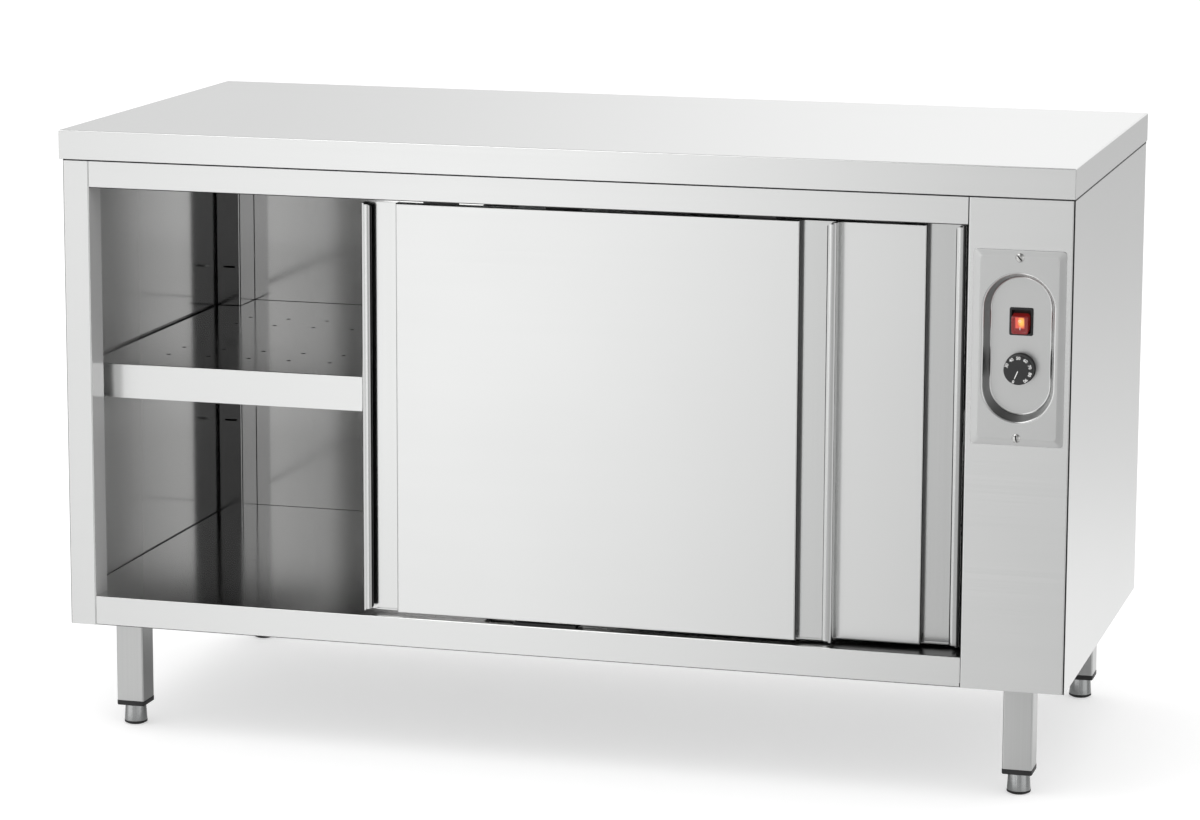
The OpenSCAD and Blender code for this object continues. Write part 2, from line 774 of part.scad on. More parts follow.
// The lamp rocker, tilted about its pivot line, with a stub at each end of that line
module switch_rocker() {
    end = rocker_h / 2;
    color("#c8281c") translate([column_mid, rocker_pivot_y, switch_z]) rotate([rocker_tilt, 0, 0]) {
        along_x(-rocker_w / 2, rocker_w / 2) polygon([
            [-rocker_proud, end - 0.8], [0.8 - rocker_proud, end], [-1, end], [3, end - 5], [3, -end + 5],
            [-1, -end], [0.8 - rocker_proud, -end], [-rocker_proud, -end + 0.8],
            [1.1 - rocker_proud, -6], [1.5 - rocker_proud, 0], [1.1 - rocker_proud, 6]]);
        rod_x(-rocker_w / 2 - 1.2, rocker_w / 2 + 1.2, 0, 0, pivot_r);
    }
}

module thermostat() {
    color("#8d8f8e") difference() {
        union() {
            block(column_mid - 18, column_mid + 18, thermo_front_y, thermo_front_y + 26, knob_z - 18, knob_z + 18);
            rod_y(column_mid, thermo_front_y + 26, thermo_front_y + 32, knob_z - 8, 3);
            for (z = [-11, 11]) {
                block(column_mid + 18, column_mid + 26, thermo_front_y + 12, thermo_front_y + 12.8,
                      knob_z + z - 3.15, knob_z + z + 3.15);
            }
        }
        rod_y(column_mid, thermo_front_y - 1, thermo_front_y + 22, knob_z, spindle_r + turn_fit);
    }
}

module temperature_knob() {
    r = knob_dia / 2;
    color("#202021") translate([column_mid, knob_back_y, knob_z]) rotate([90, 0, 0]) rotate_extrude($fn = 96)
        polygon([[spindle_r, 0], [r - 0.5, 0], [r, 0.6], [r, 2.4], [r - 0.5, 3],
                 [r - 1, knob_d - 1.6], [r - 1.5, knob_d - 0.5], [r - 2.6, knob_d],
                 [0, knob_d], [0, knob_d - 6], [spindle_r, knob_d - 6]]);
}

module thermostat_spindle() {
    color("#b3b6b6") rod_y(column_mid, knob_back_y - knob_d + 6, thermo_front_y + 21, knob_z, spindle_r);
}

// ---- Fan heater --------------------------------------------------------------------------------

module heater_box() {
    color("#a7abab") difference() {
        translate([part_x, box_y, box_z]) rotate([0, 90, 0]) tray(box_size_z, box_size_y, box_d, 12);
        for (z = [element_z, element_z + (runs - 1) * run_gap]) {
            rod_x(part_x + box_d - 5, part_x + box_d + 5, run_y0 - element_turn, z, tube_r + 0.5);
        }
    }
}

// A tubular element bent to and fro, with both ends brazed into a plate on the heater box's wall
module heater_element() {
    plate_x = part_x + box_d - sheet - 2.5;
    last = element_z + (runs - 1) * run_gap;
    color("#5d5a55") union() {
        for (i = [0:runs - 1]) {
            rod_y(element_x, run_y0, run_y1, element_z + i * run_gap, tube_r);
        }
        for (i = [0:runs - 2]) {
            at_far_end = i % 2 == 0;
            translate([element_x, at_far_end ? run_y1 : run_y0, element_z + (i + 0.5) * run_gap])
                rotate([0, -90, 0]) rotate([0, 0, at_far_end ? 0 : 180])
                rotate_extrude(angle = 180, $fn = 64) translate([run_gap / 2, 0]) circle(r = tube_r, $fn = 24);
        }
        for (z = [element_z, last]) {
            translate([element_x + element_turn, run_y0, z]) rotate([0, 0, 180])
                rotate_extrude(angle = 90, $fn = 64) translate([element_turn, 0]) circle(r = tube_r, $fn = 24);
            rod_x(element_x + element_turn, part_x + box_d + 8, run_y0 - element_turn, z, tube_r);
        }
        block(plate_x, plate_x + 2.5, run_y0 - element_turn - 13, run_y0 - element_turn + 13,
              element_z - 18, last + 18);
    }
}

module fan_frame() {
    bore_r = fan_s / 2 - 4;
    color("#3a3b3c") translate([part_x, fan_y, fan_z]) rotate([0, 90, 0]) difference() {
        union() {
            linear_extrude(fan_d) difference() {
                polygon(round_rect(fan_s, fan_s, 6));
                circle(r = bore_r, $fn = 96);
            }
            intersection() {
                union() for (a = [0:120:240]) {
                    rotate([0, 0, a]) translate([20, -3, fan_d - 4]) cube([bore_r - 15, 6, 4]);
                }
                cylinder(h = fan_d, r = bore_r + 2, $fn = 96);
            }
        }
        for (x = [-1, 1], y = [-1, 1]) {
            translate([x * (fan_s / 2 - 7.5), y * (fan_s / 2 - 7.5), -1]) cylinder(h = fan_d + 2, r = 2.2, $fn = 24);
        }
        translate([0, 0, fan_d - 6]) cylinder(h = 10, r = motor_r + turn_fit, $fn = 64);
    }
}

// The motor in the middle of the struts, with the pin that the impeller turns on
module fan_motor() {
    color("#4a4b4c") translate([part_x, fan_y, fan_z]) rotate([0, 90, 0]) {
        translate([0, 0, fan_d - motor_l]) cylinder(h = motor_l, r = motor_r, $fn = 64);
        translate([0, 0, fan_d - hub_back - hub_l + 1]) cylinder(h = hub_l + 1, r = 2, $fn = 32);
    }
}

module fan_impeller() {
    blades = 7;
    tip_r = fan_s / 2 - 6;
    hub_r = 24;
    hub_z = fan_d - hub_back - hub_l;
    color("#2b2c2d") translate([part_x, fan_y, fan_z]) rotate([0, 90, 0]) difference() {
        union() {
            translate([0, 0, hub_z]) cylinder(h = hub_l, r = hub_r, $fn = 64);
            intersection() {
                union() for (i = [0:blades - 1]) {
                    rotate([0, 0, i * 360 / blades]) translate([hub_r - 4, 0, hub_z + hub_l / 2]) rotate([32, 0, 0])
                        translate([0, -14, -0.9]) cube([tip_r, 28, 1.8]);
                }
                translate([0, 0, hub_z]) cylinder(h = hub_l, r = tip_r, $fn = 96);
            }
        }
        translate([0, 0, hub_z - 1]) cylinder(h = hub_l + 2, r = 2 + turn_fit, $fn = 32);
        translate([0, 0, hub_z + 2]) difference() {
            cylinder(h = hub_l, r = hub_r - 2, $fn = 64);
            cylinder(h = hub_l, r = 5, $fn = 32);
        }
    }
}

module terminal_block() {
    pitch = 10;
    color("#d9d6cc") translate([part_x + 40, gland_y + 30, floor_z]) difference() {
        cube([50, 20, 18]);
        for (i = [0:4]) {
            translate([pitch / 2 + i * pitch, 10, 12]) cylinder(h = 8, r = 2.6, $fn = 24);
            translate([pitch / 2 + i * pitch, -1, 7]) rotate([-90, 0, 0]) cylinder(h = 22, r = 2, $fn = 24);
        }
    }
}

// The inlet for the supply cord, in the floor of the control compartment
module cable_gland() {
    bore_r = 4.5;
    color("#2a2a2b") translate([gland_x, gland_y, 0]) difference() {
        union() {
            translate([0, 0, floor_z]) cylinder(h = 5, r = 13, $fn = 6);
            translate([0, 0, under_floor_z - 1]) cylinder(h = sheet + 2, r = gland_r, $fn = 48);
            translate([0, 0, under_floor_z - 6]) cylinder(h = 6, r = 13, $fn = 6);
            translate([0, 0, under_floor_z - 18]) cylinder(h = 13, r1 = 8, r2 = 11, $fn = 48);
        }
        translate([0, 0, under_floor_z - 20]) cylinder(h = 40, r = bore_r, $fn = 48);
    }
}

// ---- Legs and feet -----------------------------------------------------------------------------

module leg(x, y) {
    color("#bfc2c2") along_z(leg_z0, leg_z1) translate([x, y]) difference() {
        polygon(round_rect(leg_s, leg_s, 2.5));
        polygon(round_rect(leg_s - 2 * leg_wall, leg_s - 2 * leg_wall, 1));
    }
}

// Plastic caps pressed into the legs, with the threaded bore of the feet
module leg_caps() {
    plug = leg_s - 2 * leg_wall - 2 * fit;
    color("#1b1b1c") for (x = [-leg_x, leg_x], y = [leg_front_y, leg_back_y]) {
        translate([x, y, 0]) difference() {
            union() {
                along_z(foot_h, leg_z0) polygon(round_rect(leg_s + 0.8, leg_s + 0.8, 3));
                along_z(leg_z0 - 1, leg_z0 + plug_l) polygon(round_rect(plug, plug, 1));
            }
            translate([0, 0, foot_h - 1]) cylinder(h = cap_h + plug_l + 2, d = stem_dia + 2 * fit, $fn = 48);
        }
    }
}

// Metal cup and stem of a levelling foot
module foot(x, y) {
    top = foot_h - 0.2;
    color("#9c9f9f") translate([x, y, 0]) rotate_extrude($fn = 64) polygon([
        [0, pad_h], [foot_r - 0.4, pad_h], [foot_r - 0.1, pad_h + 0.8], [foot_r - 0.7, top * 0.6],
        [foot_r - 1.7, top - 2.5], [foot_r - 2.6, top - 0.7], [foot_r - 3.8, top],
        [stem_dia / 2, top], [stem_dia / 2, leg_z0 + stem_out - 1], [stem_dia / 2 - 1, leg_z0 + stem_out],
        [0, leg_z0 + stem_out]]);
}

// Plastic pad under a levelling foot
module foot_pad(x, y) {
    color("#161617") translate([x, y, 0]) rotate_extrude($fn = 64) polygon([
        [0, 0], [foot_r - 4.5, 0], [foot_r - 1, 1.8], [foot_r + 0.2, 3.2], [foot_r + 0.2, pad_h],
        [0, pad_h]]);
}

// ---- Nodes -------------------------------------------------------------------------------------

worktop();
worktop_stiffeners();
left_side_panel();
right_side_panel();
back_panel();
floor_pan();
base_rails();
top_rail();
control_column();
partition_wall();
upright(-1);  // rear_left_upright
upright(1);  // rear_right_upright
shelf();
shelf_clips();
door_track();
bottom_guide();
guide_screws();
leg(-leg_x, leg_front_y);  // leg_front_left
leg(leg_x, leg_front_y);  // leg_front_right
leg(-leg_x, leg_back_y);  // leg_rear_left
leg(leg_x, leg_back_y);  // leg_rear_right
leg_caps();
foot(-leg_x, leg_front_y);  // foot_front_left
foot(leg_x, leg_front_y);  // foot_front_right
foot(-leg_x, leg_back_y);  // foot_rear_left
foot(leg_x, leg_back_y);  // foot_rear_right
foot_pad(-leg_x, leg_front_y);  // foot_pad_front_left
foot_pad(leg_x, leg_front_y);  // foot_pad_front_right
foot_pad(-leg_x, leg_back_y);  // foot_pad_rear_left
foot_pad(leg_x, leg_back_y);  // foot_pad_rear_right
door_frame(front_door_x, front_door_y);  // front_door_frame
door_panel(front_door_x, front_door_y);  // front_door_panel
door_hangers(front_door_x, front_door_y);  // front_door_hangers
door_roller(hanger_places(front_door_x)[0], front_door_y);  // front_door_roller_left
door_roller(hanger_places(front_door_x)[1], front_door_y);  // front_door_roller_right
door_frame(rear_door_x, rear_door_y);  // rear_door_frame
door_panel(rear_door_x, rear_door_y);  // rear_door_panel
door_hangers(rear_door_x, rear_door_y);  // rear_door_hangers
door_roller(hanger_places(rear_door_x)[0], rear_door_y);  // rear_door_roller_left
door_roller(hanger_places(rear_door_x)[1], rear_door_y);  // rear_door_roller_right
control_plate();
plate_screws();
switch_housing();
switch_rocker();
thermostat();
temperature_knob();
thermostat_spindle();
heater_box();
heater_element();
fan_frame();
fan_motor();
fan_impeller();
terminal_block();
cable_gland();
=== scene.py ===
# %% [markdown]
# # A heated plate cabinet in stainless steel
# The imported model gives every piece at its real size. This lesson dresses it: sheet edges and folds
# are rounded, the control plate, switch, knob, screws and feet are modelled in detail, and each
# surface gets the finish of the real one, while darker and paler copies of the steel paint shade and
# light into seams, gaps, recesses and folds. Every piece stays where the model puts it, in metres.

# %% Load the frame
import json
import math

import bmesh
import bpy
from mathutils import Matrix, Vector


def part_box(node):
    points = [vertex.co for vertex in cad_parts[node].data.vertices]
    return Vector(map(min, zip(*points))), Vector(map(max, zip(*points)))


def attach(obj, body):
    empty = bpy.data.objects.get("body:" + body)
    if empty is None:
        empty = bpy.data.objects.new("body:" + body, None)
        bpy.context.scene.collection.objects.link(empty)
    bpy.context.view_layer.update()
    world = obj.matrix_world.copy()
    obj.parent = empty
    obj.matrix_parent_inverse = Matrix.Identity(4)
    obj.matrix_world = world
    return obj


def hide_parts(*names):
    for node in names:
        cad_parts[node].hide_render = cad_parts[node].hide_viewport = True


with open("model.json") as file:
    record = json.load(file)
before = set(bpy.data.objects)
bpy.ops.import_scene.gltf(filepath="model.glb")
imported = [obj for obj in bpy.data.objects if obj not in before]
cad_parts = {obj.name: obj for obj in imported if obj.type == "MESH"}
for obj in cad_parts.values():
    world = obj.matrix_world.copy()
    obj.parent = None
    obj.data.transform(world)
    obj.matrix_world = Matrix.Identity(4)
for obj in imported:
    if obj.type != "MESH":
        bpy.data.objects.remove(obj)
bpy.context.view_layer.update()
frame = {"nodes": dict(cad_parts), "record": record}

MM = 0.001
NODES = frame["nodes"]
BODY_OF = {node: body for body, members in frame["record"]["behaviour"]["bodies"].items()
           for node in members}


def new_object(name, data):
    thing = bpy.data.objects.new(name, data)
    bpy.context.scene.collection.objects.link(thing)
    return thing


# %% [markdown]
# ## The camera
# The photograph was taken from the front right, a little above the worktop, with a long lens. The
# camera could be aimed by eye, but here its place, turn and lens come from fitting the cabinet's
# corners, so the render and the photograph can be compared region by region. The small shift moves
# the frame down without tilting the camera.

# %% Camera
YAW, PITCH, ROLL = (math.radians(a) for a in (15.5685, 9.9744, 0.2169))
CAMERA_PLACE = (1.49935, -5.45519, 1.51998)
forward = Vector((-math.sin(YAW) * math.cos(PITCH), math.cos(YAW) * math.cos(PITCH), -math.sin(PITCH)))
level_right = Vector((math.cos(YAW), math.sin(YAW), 0))
level_up = level_right.cross(forward)
right = math.cos(ROLL) * level_right + math.sin(ROLL) * level_up
up = math.cos(ROLL) * level_up - math.sin(ROLL) * level_right
camera = new_object("camera", bpy.data.cameras.new("camera"))
camera.data.sensor_width = 36
camera.data.lens = 122.12
camera.data.shift_y = -0.05
camera.data.clip_end = 100
turn = Matrix((right, up, -forward)).transposed().to_4x4()
camera.matrix_world = Matrix.Translation(CAMERA_PLACE) @ turn
bpy.context.scene.camera = camera

# %% [markdown]
# ## Small tools for modelling
# Operators act on whatever is selected, so each helper selects only its own piece first. Faces, edges
# and corners are then selected by where they are and where they point.

# %% Selecting
def only(*objects):
    """Selects these objects and nothing else; the first one is active."""
    if bpy.context.object and bpy.context.object.mode != "OBJECT":
        bpy.ops.object.mode_set(mode="OBJECT")
    bpy.ops.object.select_all(action="DESELECT")
    for thing in objects:
        thing.select_set(True)
    bpy.context.view_layer.objects.active = objects[0]


def edit(piece, everything=True):
    only(piece)
    bpy.ops.object.mode_set(mode="EDIT")
    bpy.ops.mesh.select_all(action="SELECT" if everything else "DESELECT")


def leave_edit():
    bpy.ops.object.mode_set(mode="OBJECT")


def choose(piece, kind, test):
    """In edit mode, selects the 'verts', 'edges' or 'faces' whose centre and direction pass the test.
    The direction of a corner or a face is its normal, and an edge's runs along it."""
    bpy.ops.mesh.select_mode(type={"verts": "VERT", "edges": "EDGE", "faces": "FACE"}[kind])
    bpy.ops.mesh.select_all(action="DESELECT")
    bm = bmesh.from_edit_mesh(piece.data)
    for part in getattr(bm, kind):
        if kind == "verts":
            centre, direction = part.co, part.normal
        elif kind == "edges":
            centre = (part.verts[0].co + part.verts[1].co) / 2
            direction = (part.verts[1].co - part.verts[0].co).normalized()
        else:
            centre, direction = part.calc_center_median(), part.normal
        if test(centre, direction):
            part.select_set(True)
    bmesh.update_edit_mesh(piece.data)


def move(piece, test, by):
    """In edit mode, moves the corners that pass the test."""
    choose(piece, "verts", test)
    bpy.ops.transform.translate(value=by)


def round_corners(piece, axis, radius, segments):
    """In edit mode, rounds the edges that run along the axis, which is 1 for Y or 2 for Z."""
    choose(piece, "edges", lambda c, d: abs(d[axis]) > 0.9)
    bpy.ops.mesh.bevel(offset=radius * MM, segments=segments)


def cut_across(axis, where):
    """In edit mode, cuts the whole mesh by a plane square to the axis."""
    bpy.ops.mesh.select_all(action="SELECT")
    bpy.ops.mesh.bisect(plane_co=Vector(axis) * where, plane_no=axis)


# %% Finishing a mesh
def settle(piece, name=None):
    """Puts the piece's place, turn and size into its mesh, so its object sits at the origin."""
    if name:
        piece.name = piece.data.name = name
    only(piece)
    bpy.ops.object.transform_apply(location=True, rotation=True, scale=True)
    return piece


def close_up(piece, distance=1e-6):
    """Merges doubled corners and turns all faces outwards."""
    edit(piece)
    bpy.ops.mesh.remove_doubles(threshold=distance)
    bpy.ops.mesh.normals_make_consistent(inside=False)
    leave_edit()


SHARP = 40


def round_edges(piece, width):
    """Bevels the edges that turn by more degrees than SHARP."""
    bevel = piece.modifiers.new("edge_radius", "BEVEL")
    bevel.width = width
    bevel.segments = 2
    bevel.limit_method = "ANGLE"
    bevel.angle_limit = math.radians(SHARP)
    only(piece)
    bpy.ops.object.modifier_apply(modifier=bevel.name)


def smooth(piece, angle=35):
    only(piece)
    bpy.ops.object.shade_smooth_by_angle(angle=math.radians(angle))


def weigh(piece):
    """Keeps large flat faces flat in the shading, so only the folds and roundings turn the light."""
    weighted = piece.modifiers.new("flat_faces_first", "WEIGHTED_NORMAL")
    weighted.weight = 100
    weighted.keep_sharp = True
    only(piece)
    bpy.ops.object.modifier_apply(modifier=weighted.name)


def join(*pieces, name=None):
    only(*pieces)
    bpy.ops.object.join()
    if name:
        pieces[0].name = pieces[0].data.name = name
    return pieces[0]


def subtract(piece, tool):
    """Cuts the tool's shape out of the piece and deletes the tool."""
    cut = piece.modifiers.new("cut", "BOOLEAN")
    cut.object = tool
    only(piece)
    bpy.ops.object.modifier_apply(modifier=cut.name)
    bpy.data.objects.remove(tool)


def dress(piece, finish, node, hides=True):
    """Gives a new piece its finish and its CAD node's body. It usually hides that node."""
    piece.data.materials.clear()
    piece.data.materials.append(finish)
    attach(piece, BODY_OF[node])
    if hides:
        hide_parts(node)


# %% Plain boxes
def cuboid(name, centre, size, turn=0):
    """A box about its centre, turned about Y."""
    bpy.ops.mesh.primitive_cube_add(size=1, location=centre, rotation=(0, turn, 0))
    piece = bpy.context.object
    piece.scale = size
    return settle(piece, name)


def block(name, low, high):
    low, high = Vector(low), Vector(high)
    return cuboid(name, (low + high) / 2, high - low)


# %% A stepped front face
def terrace(piece, centre, half_w, half_h, steps):
    """Raises the front face towards -Y in steps of (inward, lift) millimetres, which rounds its edge."""
    inset = 0.0
    for inward, lift in steps:
        choose(piece, "faces", lambda c, n: n.y < -0.99 and abs(c.x - centre.x) < 1e-4
               and abs(c.z - centre.z) < 1e-4)
        bpy.ops.mesh.extrude_region_move(TRANSFORM_OT_translate={"value": (0, -lift * MM, 0)})
        before = inset
        inset += inward * MM
        bpy.ops.transform.resize(value=((half_w - inset) / (half_w - before), 1,
                                        (half_h - inset) / (half_h - before)), center_override=centre)


# %% A turned piece: a profile spun about an axis
def turned(name, profile, centre, axis, steps=64, half_step=False):
    """profile holds (radius, height along axis) in millimetres. It is spun once round the axis."""
    axis = Vector(axis).normalized()
    side = axis.orthogonal().normalized()
    if abs(axis.y) > 0.9:
        side = Vector((1, 0, 0))
    start = Matrix.Rotation(math.pi / steps if half_step else 0, 3, axis) @ side
    mesh = bpy.data.meshes.new(name)
    corners = [Vector(centre) + start * (r * MM) + axis * (h * MM) for r, h in profile]
    mesh.from_pydata(corners, [(i, i + 1) for i in range(len(corners) - 1)], [])
    piece = new_object(name, mesh)
    edit(piece)
    bpy.ops.mesh.spin(steps=steps, angle=2 * math.pi, center=centre, axis=axis, use_auto_merge=True)
    leave_edit()
    close_up(piece, 5e-6)
    return piece


def quarter(r0, h0, radius, start, end, steps=5):
    """Points of an arc round (r0, h0) in millimetres, for a turned profile. Angles in degrees."""
    return [(r0 + radius * math.cos(math.radians(start + (end - start) * i / steps)),
             h0 + radius * math.sin(math.radians(start + (end - start) * i / steps)))
            for i in range(steps + 1)]


# %% [markdown]
# ## Node groups for the finishes
# The steel sheets are brushed: fine scratches lie along one direction. A noise that is stretched along
# the scratches gives the same streaks in colour, gloss and height. Two patterns are used by many
# finishes, so each is a node group: this grain, and a fine moulded or cast texture. Both also vary
# broadly over the surface, as use and cleaning leave it.

# %% Helpers for nodes
def new_group(name, inputs):
    """A group that gives a colour, a roughness and a height. Its inputs are given with their
    defaults: None stands for a vector, and four numbers for a colour."""
    group = bpy.data.node_groups.new(name, "ShaderNodeTree")
    for label, default in inputs.items():
        kind = "Vector" if default is None else "Color" if isinstance(default, tuple) else "Float"
        socket = group.interface.new_socket(label, in_out="INPUT", socket_type="NodeSocket" + kind)
        if default is not None:
            socket.default_value = default
    for label, kind in (("Colour", "Color"), ("Roughness", "Float"), ("Height", "Float")):
        group.interface.new_socket(label, in_out="OUTPUT", socket_type="NodeSocket" + kind)
    return group, group.nodes.new("NodeGroupInput").outputs


def close_group(group, *results):
    """Hands the group's colour, roughness and height to its outputs."""
    for socket, result in zip(group.nodes.new("NodeGroupOutput").inputs, results):
        group.links.new(result, socket)
    return group


def feed(tree, socket, value):
    """Links another socket into this one, or sets this one to a plain value."""
    if isinstance(value, bpy.types.NodeSocket):
        tree.links.new(value, socket)
    else:
        socket.default_value = value


def calculate(tree, operation, a, b, clamp=False):
    """A Math node; a and b are sockets or numbers."""
    node = tree.nodes.new("ShaderNodeMath")
    node.operation = operation
    node.use_clamp = clamp
    feed(tree, node.inputs[0], a)
    feed(tree, node.inputs[1], b)
    return node.outputs[0]


def plus(tree, a, b, clamp=False):
    return calculate(tree, "ADD", a, b, clamp)


def minus(tree, a, b, clamp=False):
    return calculate(tree, "SUBTRACT", a, b, clamp)


def times(tree, a, b, clamp=False):
    return calculate(tree, "MULTIPLY", a, b, clamp)


def scaled(tree, vector, factor):
    node = tree.nodes.new("ShaderNodeVectorMath")
    node.operation = "SCALE"
    tree.links.new(vector, node.inputs[0])
    tree.links.new(factor, node.inputs["Scale"])
    return node.outputs[0]


def split(tree, vector):
    node = tree.nodes.new("ShaderNodeSeparateXYZ")
    tree.links.new(vector, node.inputs[0])
    return node.outputs


def blend_colours(tree, amount, first, second):
    node = tree.nodes.new("ShaderNodeMix")
    node.data_type = "RGBA"
    for place, value in ((0, amount), (6, first), (7, second)):
        feed(tree, node.inputs[place], (*value, 1) if isinstance(value, tuple) else value)
    return node.outputs[2]


def noise(tree, vector, scale, detail=2.0, rough=0.5):
    node = tree.nodes.new("ShaderNodeTexNoise")
    node.inputs["Scale"].default_value = scale
    node.inputs["Detail"].default_value = detail
    node.inputs["Roughness"].default_value = rough
    tree.links.new(vector, node.inputs["Vector"])
    return node.outputs["Fac"]


# %% Grain and texture
def make_grain_group():
    group, given = new_group("brushed_grain", {
        "Grain Vector": None, "Place Vector": None, "Colour": (0.8, 0.8, 0.8, 1), "Contrast": 0.06,
        "Roughness": 0.3, "Roughness Spread": 0.08})
    fine = noise(group, given["Grain Vector"], 1.0, 4.0, 0.65)
    streaks = minus(group, fine, 0.5)
    clouds = minus(group, noise(group, given["Place Vector"], 2.3, 3.0), 0.5)
    tone = plus(group, times(group, streaks, given["Contrast"]), times(group, clouds, given["Contrast"]))
    colour = scaled(group, given["Colour"], plus(group, tone, 1.0))
    change = times(group, plus(group, streaks, clouds), given["Roughness Spread"])
    return close_group(group, colour, plus(group, given["Roughness"], change, True), fine)


def make_texture_group():
    group, given = new_group("moulded_texture", {
        "Vector": None, "Colour": (0.1, 0.1, 0.1, 1), "Worn Colour": (0.2, 0.2, 0.2, 1), "Size": 900.0,
        "Roughness": 0.5, "Roughness Spread": 0.12})
    fine = noise(group, scaled(group, given["Vector"], given["Size"]), 1.0, 2.0, 0.55)
    broad = noise(group, given["Vector"], 45.0, 3.0)
    worn = times(group, minus(group, broad, 0.35, True), 0.6)
    colour = blend_colours(group, worn, given["Colour"], given["Worn Colour"])
    change = times(group, minus(group, broad, 0.5), given["Roughness Spread"])
    return close_group(group, colour, plus(group, given["Roughness"], change, True), fine)


GRAIN = make_grain_group()
TEXTURE = make_texture_group()
print("node groups:", GRAIN.name, TEXTURE.name)

# %% [markdown]
# ## The finishes
# The outer sheets are satin with the grain lying level, the worktop's grain runs along its length and
# the legs' grain runs up them. Inside, the chamber is bright sheet that mirrors the shelf and walls.
# The control plate is pressed and bead-blasted, so it is greyer and has no grain. Each finish is built
# from a group, and its Principled shader stays in the material itself.

# %% Building a finish
def finish_start(name, metallic, specular=0.5):
    finish = bpy.data.materials.new(name)
    finish.use_nodes = True
    tree = finish.node_tree
    shader = tree.nodes["Principled BSDF"]
    shader.inputs["Metallic"].default_value = metallic
    shader.inputs["Specular IOR Level"].default_value = specular
    place = tree.nodes.new("ShaderNodeTexCoord").outputs["Object"]
    return finish, tree, shader, place


def use_group(tree, shader, group, settings, depth, distance):
    """Feeds the shader from a group with these settings; the group's height becomes a bump."""
    node = tree.nodes.new("ShaderNodeGroup")
    node.node_tree = group
    for label, value in settings.items():
        feed(tree, node.inputs[label], value)
    tree.links.new(node.outputs["Colour"], shader.inputs["Base Color"])
    tree.links.new(node.outputs["Roughness"], shader.inputs["Roughness"])
    bump = tree.nodes.new("ShaderNodeBump")
    bump.inputs["Strength"].default_value = depth
    bump.inputs["Distance"].default_value = distance
    tree.links.new(node.outputs["Height"], bump.inputs["Height"])
    tree.links.new(bump.outputs["Normal"], shader.inputs["Normal"])


def brushed(name, colour, roughness, stretch, contrast=0.04, spread=0.06, depth=0.2):
    """stretch holds the noise's scale along X, Y and Z: low along the grain and high across it."""
    finish, tree, shader, place = finish_start(name, 1.0)
    mapping = tree.nodes.new("ShaderNodeMapping")
    mapping.inputs["Scale"].default_value = stretch
    tree.links.new(place, mapping.inputs["Vector"])
    use_group(tree, shader, GRAIN, {
        "Grain Vector": mapping.outputs[0], "Place Vector": place, "Colour": (*colour, 1),
        "Contrast": contrast, "Roughness": roughness, "Roughness Spread": spread}, depth, 0.2 * MM)
    return finish


def textured(name, colour, worn, roughness, size=900.0, metallic=0.0, depth=0.15, spread=0.12):
    finish, tree, shader, place = finish_start(name, metallic)
    use_group(tree, shader, TEXTURE, {
        "Vector": place, "Colour": (*colour, 1), "Worn Colour": (*worn, 1), "Size": size,
        "Roughness": roughness, "Roughness Spread": spread}, depth, 0.4 * MM)
    return finish


# %% The steels
LEVEL_GRAIN = (0.8, 0.8, 500)
LENGTHWISE_GRAIN = (0.8, 500, 500)
UPRIGHT_GRAIN = (500, 500, 0.8)
STEEL = (0.80, 0.805, 0.80)
worktop_steel = brushed("worktop_steel", STEEL, 0.24, LENGTHWISE_GRAIN, contrast=0.05, depth=0.004)
outer_steel = brushed("outer_steel", STEEL, 0.25, LEVEL_GRAIN, contrast=0.06, depth=0.004)
door_steel = brushed("door_steel", STEEL, 0.24, LEVEL_GRAIN, contrast=0.03, depth=0.003)
# The lips' steel is darker than the doors' steel: painted shade.
painted_lip_shade = brushed("painted_lip_shade", (0.67, 0.675, 0.67), 0.18, UPRIGHT_GRAIN, contrast=0.03, depth=0.03)
BRIGHT = {"contrast": 0.03, "spread": 0.03, "depth": 0.003}
chamber_steel = brushed("chamber_steel", (0.80, 0.80, 0.795), 0.12, LEVEL_GRAIN, **BRIGHT)
shelf_steel = brushed("shelf_steel", (0.80, 0.80, 0.795), 0.12, LENGTHWISE_GRAIN, **BRIGHT)
# The left wall's steel is paler than the chamber's: painted light.
wall_steel_painted_light = brushed("wall_steel_painted_light", (0.93, 0.93, 0.925), 0.12, LEVEL_GRAIN, **BRIGHT)
# These five near-black copies of the steel are painted shade: seams, gaps, holes, slots, the sill, the door
# track and hangers, and the uprights' fronts and flanges.
painted_shade_steel = brushed("painted_shade_steel", (0.05, 0.05, 0.05), 0.45, UPRIGHT_GRAIN)
painted_sill_shade = brushed("painted_sill_shade", (0.10, 0.10, 0.10), 0.25, LEVEL_GRAIN)
painted_track_and_hanger_shade = brushed("painted_track_and_hanger_shade", (0.12, 0.12, 0.12), 0.4, LEVEL_GRAIN)
painted_post_shade = brushed("painted_post_shade", (0.10, 0.10, 0.10), 0.16, UPRIGHT_GRAIN, depth=0.003)
painted_flange_shade = brushed("painted_flange_shade", (0.55, 0.55, 0.55), 0.2, UPRIGHT_GRAIN, depth=0.003)
leg_steel = brushed("leg_steel", (0.60, 0.605, 0.60), 0.3, UPRIGHT_GRAIN, contrast=0.12, depth=0.04)
fitting_steel = brushed("fitting_steel", (0.58, 0.59, 0.59), 0.3, (900, 900, 900), contrast=0.1)
screw_steel = brushed("screw_steel", (0.66, 0.66, 0.65), 0.2, (700, 60, 700), contrast=0.12, depth=0.03)
plate_steel = textured("plate_steel", (0.66, 0.665, 0.66), (0.72, 0.72, 0.715), 0.32, 2400, 1.0, 0.02)
